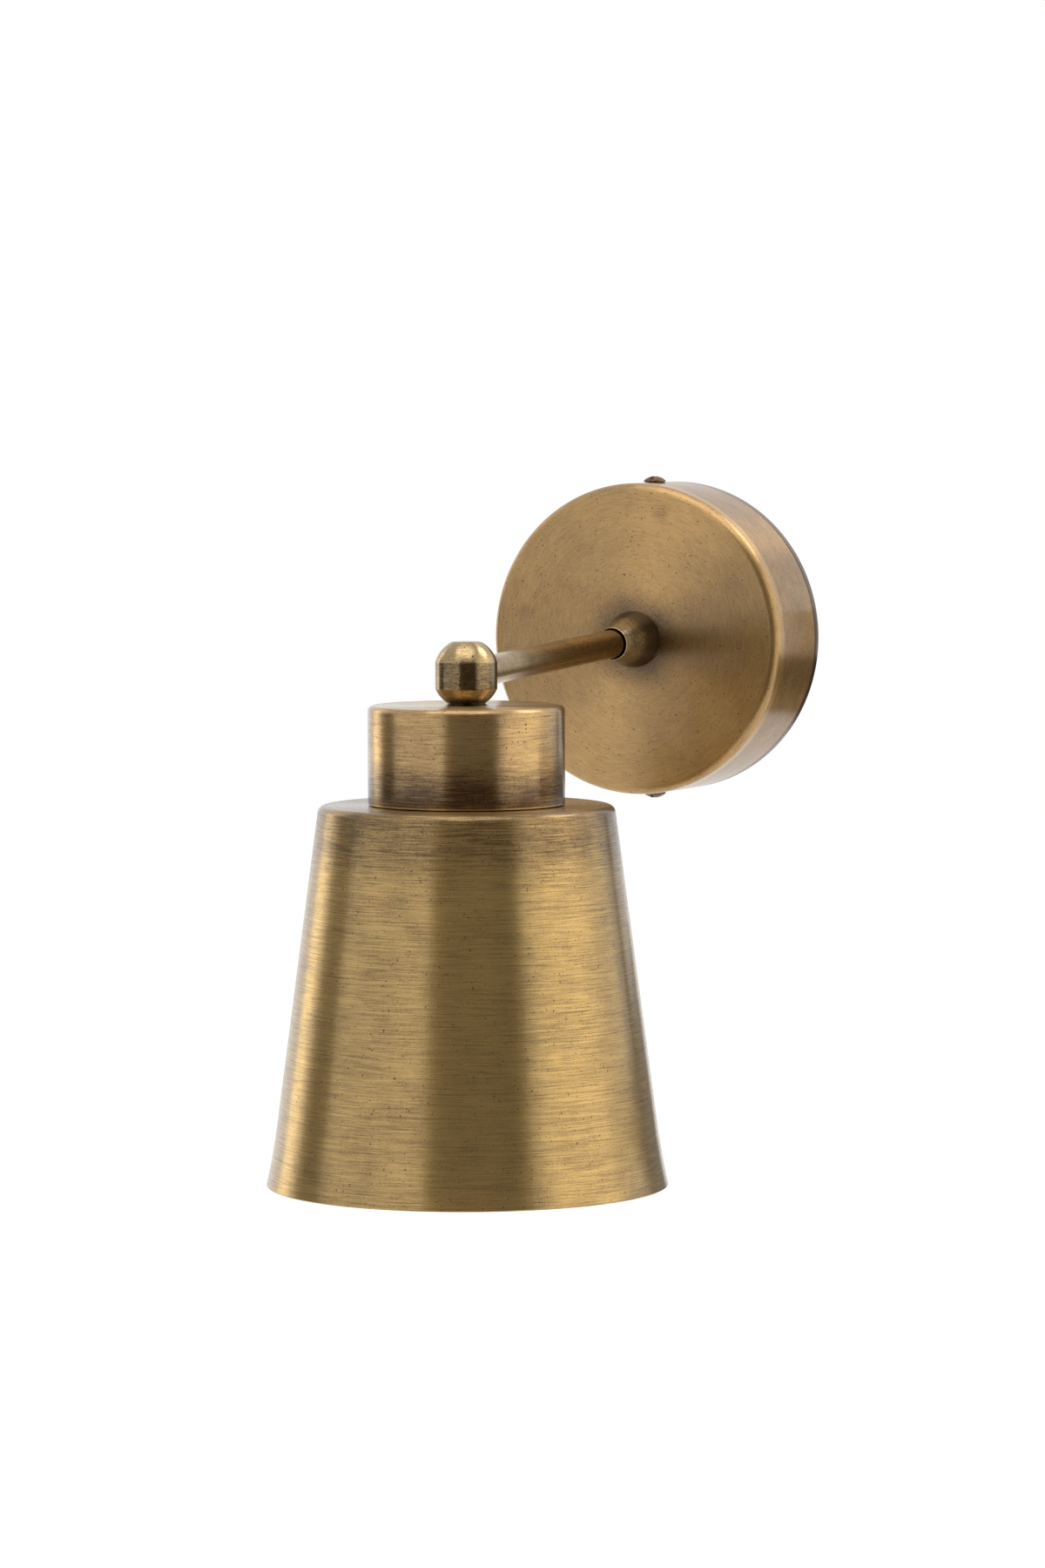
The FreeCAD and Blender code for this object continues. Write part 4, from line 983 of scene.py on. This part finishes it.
# Spring wire: darker bare steel with a drawn skin.
spring_wire = plain_finish(
    "oiled_spring_steel", "#8C8A87", "#5B5855", patch=2 * MM, rough=0.3, grain=0.3 * MM, depth=0.006 * MM,
    metallic=1.0,
)
print("finishes of metal:", drawn_brass.name, zinc_plate.name, spring_wire.name)

# %% Finishes of resin, ceramic and nylon
# Moulded resin: black with a faint warm cast and the orange skin of the mould.
moulded_resin = plain_finish(
    "moulded_black_resin", "#2B2724", "#171412", patch=9 * MM, rough=0.34, grain=0.9 * MM,
    depth=0.015 * MM, ior=1.55,
)
# Glazed ceramic: warm white, wet looking, with faint iron specks in the glaze.
glazed_ceramic = plain_finish(
    "glazed_ceramic", "#F0ECE2", "#D8D0C0", patch=3 * MM, rough=0.3, grain=0.8 * MM, depth=0.01 * MM,
    ior=1.55, coat=0.6,
)
# Natural nylon: milky cream, satin.
natural_nylon = plain_finish(
    "natural_nylon", "#E9E5D8", "#D3CDBC", patch=5 * MM, rough=0.42, grain=0.5 * MM, depth=0.01 * MM,
    ior=1.53,
)
print("moulded and fired:", moulded_resin.name, glazed_ceramic.name, natural_nylon.name)

# %% Wire insulation
# Extruded soft plastic: an even colour with a slight waxy shine.
WIRE_COLOURS = {
    "brown": ("#6E4327", "#55311B"),
    "blue": ("#2F6FB4", "#235892"),
    "green": ("#3F8F3C", "#2F7330"),
    "yellow": ("#E3C52E", "#CCAE22"),
}
sleeves = {
    name: plain_finish(name + "_wire_plastic", light, dark, patch=4 * MM, rough=0.4, grain=0.4 * MM,
                       depth=0.006 * MM, ior=1.5)
    for name, (light, dark) in WIRE_COLOURS.items()
}
print("wires:", *sleeves)

# %% [markdown]
# ## The lampholder
# Under the shade sits a screw lampholder. Its body is a moulded sleeve with a flange under which the
# shade is clamped and a coarse thread for the ring. The ring is modelled round and then given finger
# ribs: groups of its wall's faces are pushed outwards. Inside are the ceramic core, the brass screw
# shell, whose wall is rolled into a thread, and the sprung contact with its rounded tip.

# %% The holder's body
HOLDER_RADIUS = 19.6 * MM
HOLDER_BORE = 14.9 * MM
HOLDER_PITCH = 2.2 * MM
HOLDER_THREAD = 0.7 * MM


def make_holder_body():
    """Moulded sleeve with a flange and a threaded skirt."""
    low, top = heights("lampholder_body")
    flange = SHADE_TOP + 2.0 * MM
    ledge, lap, core = -38.5 * MM, 17.75 * MM, 15.75 * MM
    edge, step = 0.5 * MM, -34.1 * MM
    flange_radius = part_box("lampholder_body")[1].x
    outline = [
        (core, top), (core, ledge), (HOLDER_BORE, ledge),
        (HOLDER_BORE, low + edge), (HOLDER_BORE + edge, low),
        (HOLDER_RADIUS - edge, low), *ladder(HOLDER_RADIUS, low + edge, SHADE_TOP, 0.25 * MM),
        (flange_radius - edge, SHADE_TOP), *arc((flange_radius - edge, SHADE_TOP + edge), edge, -90, 0, 3),
        *arc((flange_radius - edge, flange - edge), edge, 0, 90, 3),
        (HOLDER_RADIUS, flange), (HOLDER_RADIUS, step), (lap, step), (lap, top - edge), (lap - edge, top),
    ]
    body = turned("holder_body_moulded", outline, HEAD, steps=128)
    roll_thread(body, HEAD, low + 0.8 * MM, SHADE_TOP - 1.0 * MM, HOLDER_PITCH, HOLDER_THREAD,
                least=HOLDER_RADIUS - 0.1 * MM)
    return finish(body, moulded_resin, "head", "black_resin", "lampholder_body")


make_holder_body()

# %% The ring
RING_HUB = 23.0 * MM
RING_RIBS = 24
RIB_HEIGHT = 0.9 * MM
FACES_PER_RIB = 6


def make_ring():
    """Flange and hub of the ring, with finger ribs round the hub."""
    low, top = heights("shade_ring")
    bore, edge = 19.65 * MM, 0.4 * MM
    flange, flange_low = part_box("shade_ring")[1].x, top - 2.2 * MM
    outline = [
        (bore, low + edge), (bore + edge, low), (RING_HUB - edge, low), (RING_HUB, low + edge),
        (RING_HUB, flange_low), (flange - edge, flange_low),
        *arc((flange - edge, flange_low + edge), edge, -90, 0, 3),
        *arc((flange - edge, top - edge), edge, 0, 90, 3), (bore, top),
    ]
    ring = turned("clamp_ring_ribbed", outline, HEAD, steps=RING_RIBS * FACES_PER_RIB)
    bpy.ops.object.mode_set(mode="EDIT")
    bpy.ops.mesh.select_all(action="DESELECT")
    mesh = bmesh.from_edit_mesh(ring.data)
    for face in mesh.faces:
        reach = face.calc_center_median() - ball_centre
        around = math.atan2(reach.y, reach.x) / math.tau * RING_RIBS * FACES_PER_RIB
        on_wall = abs(math.hypot(reach.x, reach.y) - RING_HUB) < 0.05 * MM and abs(face.normal.z) < 0.1
        on_rib = math.floor(around) % FACES_PER_RIB < FACES_PER_RIB / 2
        face.select = on_wall and on_rib and low + edge < reach.z < flange_low
    bmesh.update_edit_mesh(ring.data)
    bpy.ops.mesh.extrude_region_shrink_fatten(TRANSFORM_OT_shrink_fatten={"value": RIB_HEIGHT})
    bpy.ops.object.mode_set(mode="OBJECT")
    shaped(ring, "BEVEL", width=0.15 * MM, segments=2, limit_method="ANGLE", angle_limit=math.radians(50))
    smooth(ring)
    return finish(ring, moulded_resin, "ring", "black_resin", "shade_ring")


make_ring()

# %% The ceramic core
def make_core():
    """Glazed disc with a stepped hole for the contact."""
    low, top = heights("socket_core")
    radius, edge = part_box("socket_core")[1].x, 0.7 * MM
    bore, chamber, shoulder = 2.45 * MM, 3.65 * MM, low + 4 * MM
    outline = [
        (bore, low + 0.4 * MM), (bore + 0.4 * MM, low), (radius - edge, low),
        *arc((radius - edge, low + edge), edge, -90, 0, 4),
        *arc((radius - edge, top - edge), edge, 0, 90, 4),
        (chamber, top), (chamber, shoulder), (bore, shoulder),
    ]
    core = turned("ceramic_core_glazed", outline, HEAD, steps=96)
    return finish(core, glazed_ceramic, "head", "white_ceramic", "socket_core")


make_core()

# %% The screw shell
LAMP_PITCH = 3.62 * MM
LAMP_THREAD = 1.0 * MM


def make_shell():
    """Thin brass shell whose wall is rolled into the lamp's thread."""
    low, top = heights("socket_shell")
    bore, wall, neck, flange = 13.3 * MM, 0.4 * MM, 12.6 * MM, 15.2 * MM
    shoulder, rung = low + 20.7 * MM, 0.45 * MM
    outline = [
        *ladder(bore, shoulder, low, rung), *ladder(bore + wall, low, shoulder, rung),
        (neck + wall, shoulder + 0.7 * MM), (neck + wall, top - wall), (flange, top - wall),
        (flange, top), (neck, top), (neck, shoulder + 0.7 * MM),
    ]
    shell = turned("screw_shell_rolled", outline, HEAD, steps=112)
    roll_thread(shell, HEAD, low - LAMP_PITCH / 2, shoulder, LAMP_PITCH, LAMP_THREAD,
                least=bore - 0.1 * MM, most=bore + 0.5 * MM)
    smooth(shell, 60)
    return finish(shell, drawn_brass, "head", "plain_brass", "socket_shell")


make_shell()

# %% The contact
def make_contact():
    """Sprung plunger with a collar and a rounded tip."""
    low, top = heights("centre_contact")
    radius, collar, collar_low = 2.4 * MM, 3.6 * MM, top - 1.0 * MM
    cap = 1.1 * MM
    outline = [
        (0, low), *arc_to((0, low), (radius, low + cap), -(radius ** 2 + cap ** 2) / (2 * cap), 8),
        (radius, collar_low), (collar, collar_low), (collar, top - 0.2 * MM),
        (collar - 0.2 * MM, top), (0, top),
    ]
    contact = turned("contact_plunger", outline, HEAD, steps=48, closed=False)
    return finish(contact, drawn_brass, "contact", "plain_brass", "centre_contact")


make_contact()

# %% [markdown]
# ## The strap
# Behind the box a bent steel strap carries everything. It could be cut from a block, but a strap is
# sheet: a strip of faces gets two folds, then its thickness, then it is punched, as in the press.

# %% Strap
STRAP_SHEET = 2.0 * MM
STRAP_BEND = 3.5 * MM
CABLE_HOLE = 6.0 * MM
WALL_SLOT = (2.5 * MM, 12 * MM, 76 * MM)
EARTH_RISE = 18 * MM
SCREW_TAP = 2.1 * MM
BLOCK_DROP = 20 * MM
BLOCK_TAP = 1.6 * MM
POLE_PITCH = 8 * MM


def wall_axis(x, z):
    """Place whose axis stands out of the wall at a point of it."""
    return Vector((x, 0, z)), OUT, ACROSS


def bent_strap():
    """Strip with a tab folded out at each end, given its thickness."""
    low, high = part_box("wall_bracket")
    clear_selection()
    bpy.ops.mesh.primitive_plane_add(size=1, rotation=(math.radians(90), 0, 0))
    strap = bpy.context.object
    strap.name = strap.data.name = "strap_bent_steel"
    strap.scale = (high.x - low.x, high.z - low.z, 1)
    bpy.ops.object.transform_apply(location=True, rotation=True, scale=True)
    bpy.ops.object.mode_set(mode="EDIT")
    for end in (-1, 1):
        bpy.ops.mesh.select_all(action="DESELECT")
        mesh = bmesh.from_edit_mesh(strap.data)
        for vertex in mesh.verts:
            vertex.select = abs(vertex.co.y) < MM and vertex.co.z * end > high.z - MM
        mesh.select_flush(True)
        bpy.ops.mesh.extrude_edges_move(TRANSFORM_OT_translate={"value": (0, low.y, 0)})
    bpy.ops.mesh.select_all(action="DESELECT")
    mesh = bmesh.from_edit_mesh(strap.data)
    for edge in mesh.edges:
        edge.select = len(edge.link_faces) == 2
    bmesh.update_edit_mesh(strap.data)
    bpy.ops.mesh.bevel(offset=STRAP_BEND, segments=8, affect="EDGES")
    bpy.ops.mesh.select_all(action="SELECT")
    bpy.ops.mesh.normals_make_consistent(inside=False)
    bpy.ops.object.mode_set(mode="OBJECT")
    facing_out = min(strap.data.polygons, key=lambda face: abs(face.center.z)).normal.y < 0
    shaped(strap, "SOLIDIFY", thickness=STRAP_SHEET, offset=1 if facing_out else -1, use_even_offset=True)
    return strap


# %% Slots and holes of the strap
def punched(strap):
    """Wall slots, tapped tabs, cable hole and two tapped holes."""
    radius, length, apart = WALL_SLOT
    for side in (-1, 1):
        punch = rod("slot_punch", radius, wall_axis(0, side * apart / 2), -3 * MM, 6 * MM)
        for vertex in punch.data.vertices:
            vertex.co.z += math.copysign(length / 2 - radius, vertex.co.z - side * apart / 2)
        cut(strap, punch)
        tap = (Vector((0, SIDE_SCREW_DEPTH, 0)), UP * side, ACROSS)
        cut(strap, rod("tap_drill", SCREW_TAP, tap, 45 * MM, 58 * MM))
    for x, z, hole in (
        (0, 0, CABLE_HOLE),
        (0, EARTH_RISE, SCREW_TAP),
        (POLE_PITCH / 2, -BLOCK_DROP, BLOCK_TAP),
    ):
        cut(strap, rod("hole_punch", hole, wall_axis(x, z), -3 * MM, 6 * MM))
    shaped(strap, "BEVEL", width=0.2 * MM, segments=2, limit_method="ANGLE", angle_limit=math.radians(60))
    smooth(strap)
    return strap


finish(punched(bent_strap()), zinc_plate, "wall_mount", "zinc_steel", "wall_bracket")

# %% [markdown]
# ## The terminal block
# The block was moulded in one piece. A base could be extruded into towers face by face, but its ridges
# and towers are round, so rods are joined to a base first and the cores of the mould are taken out
# afterwards.

# %% Terminal block
def make_terminal_block():
    """Nylon base with a ridge round each clamp, a tower over each screw and a boss for the fixing."""
    low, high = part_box("terminal_block")
    foot, middle = -high.y, -(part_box("terminal_clamps")[0].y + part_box("terminal_clamps")[1].y) / 2
    front = -low.y
    tower, well, bore, boss = 3.1 * MM, 1.65 * MM, 2.55 * MM, 2.75 * MM
    rows = 4.5 * MM
    base_top = foot + 5 * MM
    centre = Vector((0, -(foot + base_top) / 2, (low.z + high.z) / 2))
    moulding = block("terminal_block_moulded", centre, (high.x - low.x, base_top - foot, high.z - low.z))
    shaped(moulding, "BEVEL", width=0.6 * MM, segments=3)
    poles = (-POLE_PITCH, 0, POLE_PITCH)
    for x in poles:
        along = (Vector((x, -middle, 0)), UP, ACROSS)
        cut(moulding, rod("ridge", 3.7 * MM, along, low.z, high.z), "UNION")
        for row in (-rows, rows):
            cut(moulding, rod("tower", tower, wall_axis(x, row - BLOCK_DROP), middle, front), "UNION")
    fixing = wall_axis(POLE_PITCH / 2, -BLOCK_DROP)
    cut(moulding, rod("fixing_boss", boss, fixing, foot + MM, front), "UNION")
    for x in poles:
        along = (Vector((x, -middle, 0)), UP, ACROSS)
        cut(moulding, rod("bore_core", bore, along, low.z - MM, high.z + MM))
        for row in (-rows, rows):
            cut(moulding, rod("well_core", well, wall_axis(x, row - BLOCK_DROP), middle, front + MM))
    cut(moulding, rod("fixing_core", 1.55 * MM, fixing, foot - MM, front + MM))
    shaped(moulding, "BEVEL", width=0.15 * MM, segments=1, limit_method="ANGLE",
           angle_limit=math.radians(60))
    smooth(moulding)
    return finish(moulding, natural_nylon, "wall_mount", "white_nylon", "terminal_block")


make_terminal_block()

# %% [markdown]
# ## Nuts, washers, clamps and terminals
# The frame has these small pieces in their right shape already, so drawing them again would add nothing.
# Each is copied with a mesh of its own, doubled corners are merged, and its sharp edges get the small
# round that cutting, pressing or moulding leaves.

# %% Dressed copies of the small hardware
def dressed(node, name, material, body, slot, edge=0.12 * MM):
    """Merged copy of a node with softened edges, which stands for it."""
    clear_selection()
    piece = bpy.data.objects.new(name, frame["nodes"][node].data.copy())
    piece.data.name = name
    bpy.context.scene.collection.objects.link(piece)
    piece.select_set(True)
    bpy.context.view_layer.objects.active = piece
    bpy.ops.object.mode_set(mode="EDIT")
    bpy.ops.mesh.select_all(action="SELECT")
    bpy.ops.mesh.remove_doubles(threshold=0.002 * MM)
    bpy.ops.mesh.dissolve_limited(angle_limit=math.radians(1))
    bpy.ops.mesh.normals_make_consistent(inside=False)
    bpy.ops.object.mode_set(mode="OBJECT")
    if edge:
        shaped(piece, "BEVEL", width=edge, segments=2, limit_method="ANGLE", angle_limit=math.radians(45))
    smooth(piece)
    return finish(piece, material, body, slot, node)


for node, name, material, body, slot in (
    ("arm_washer", "lock_washer_pressed", zinc_plate, "wall_mount", "zinc_steel"),
    ("arm_nut", "arm_nut_hexagon", zinc_plate, "wall_mount", "zinc_steel"),
    ("earth_tag", "earth_tag_pressed", zinc_plate, "wall_mount", "zinc_steel"),
    ("terminal_clamps", "clamp_tubes_drawn", drawn_brass, "wall_mount", "plain_brass"),
    ("terminal_screws", "clamp_screws_slotted", zinc_plate, "wall_mount", "zinc_steel"),
    ("nipple", "nipple_tube", drawn_brass, "head", "plain_brass"),
    ("cup_nut", "cup_nut_hexagon", zinc_plate, "head", "zinc_steel"),
    ("lampholder_cap", "holder_cap_moulded", moulded_resin, "head", "black_resin"),
    ("lampholder_grub_screw", "grub_screw_steel", zinc_plate, "head", "zinc_steel"),
    ("live_terminal", "live_terminal_brass", drawn_brass, "head", "plain_brass"),
    ("neutral_terminal", "neutral_terminal_brass", drawn_brass, "head", "plain_brass"),
    ("live_terminal_screw", "live_screw_steel", zinc_plate, "head", "zinc_steel"),
    ("neutral_terminal_screw", "neutral_screw_steel", zinc_plate, "head", "zinc_steel"),
):
    dressed(node, name, material, body, slot)

# %% Strap screws
def make_strap_screws():
    """The earth screw and the screw that holds the block, each a slotted dome."""
    for node, name, x, z, shank, rise, pitch in (
        ("earth_screw", "earth_screw_slotted", 0, EARTH_RISE, 2.0 * MM, 2.18 * MM, 0.7 * MM),
        ("terminal_fixing_screw", "block_screw_slotted", POLE_PITCH / 2, -BLOCK_DROP, 1.5 * MM, 1.58 * MM,
         0.5 * MM),
    ):
        low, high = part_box(node)
        seat = -low.y - rise
        place = (Vector((x, -seat, z)), OUT, ACROSS)
        screw = slotted_screw(name, place, shank, seat + high.y, (high.x - low.x) / 2, rise, pitch, ACROSS)
        finish(screw, zinc_plate, "wall_mount", "zinc_steel", node)


make_strap_screws()

# %% [markdown]
# ## The leads and the spring
# The leads are the frame's tubes in the colours of house wiring. The earth lead is green with a yellow
# stripe, so the faces on one side of it get a second material. The spring is a ring of wire wound by the
# Screw modifier.

# %% Leads
for node, colour, body in (
    ("arm_live_lead", "brown", "wall_mount"),
    ("arm_neutral_lead", "blue", "wall_mount"),
    ("head_live_lead", "brown", "head"),
    ("head_neutral_lead", "blue", "head"),
    ("earth_lead", "green", "wall_mount"),
):
    lead = dressed(node, node + "_sleeve", sleeves[colour], body, colour + "_insulation", edge=0)
    if node == "earth_lead":
        lead.data.materials.append(sleeves["yellow"])
        for face in lead.data.polygons:
            face.material_index = int(face.normal.x > 0.5)


def make_spring():
    """Coil of wire behind the contact, its ends closed."""
    low, top = heights("contact_spring")
    wire, coils = 0.35 * MM, 5
    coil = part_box("contact_spring")[1].x - wire
    clear_selection()
    bpy.ops.mesh.primitive_circle_add(
        vertices=12, radius=wire, location=(coil, 0, 0), rotation=(math.radians(90), 0, 0),
    )
    spring = bpy.context.object
    spring.name = spring.data.name = "spring_coil"
    bpy.ops.object.transform_apply(location=True, rotation=True, scale=True)
    pitch = (top - low - 2 * wire) / coils
    shaped(spring, "SCREW", axis="Z", angle=math.tau, screw_offset=pitch, iterations=coils, steps=32)
    bpy.ops.object.mode_set(mode="EDIT")
    bpy.ops.mesh.select_all(action="SELECT")
    bpy.ops.mesh.remove_doubles(threshold=0.002 * MM)
    bpy.ops.mesh.fill_holes(sides=0)
    bpy.ops.mesh.normals_make_consistent(inside=False)
    bpy.ops.object.mode_set(mode="OBJECT")
    spring.location = ball_centre + UP * (low + wire)
    bpy.ops.object.transform_apply(location=True, rotation=True, scale=True)
    smooth(spring, 50)
    finish(spring, spring_wire, "head", "spring_steel", "contact_spring")
    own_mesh(spring)
    return spring


make_spring()

# %% [markdown]
# ## The end

# %% End
print("scene built")
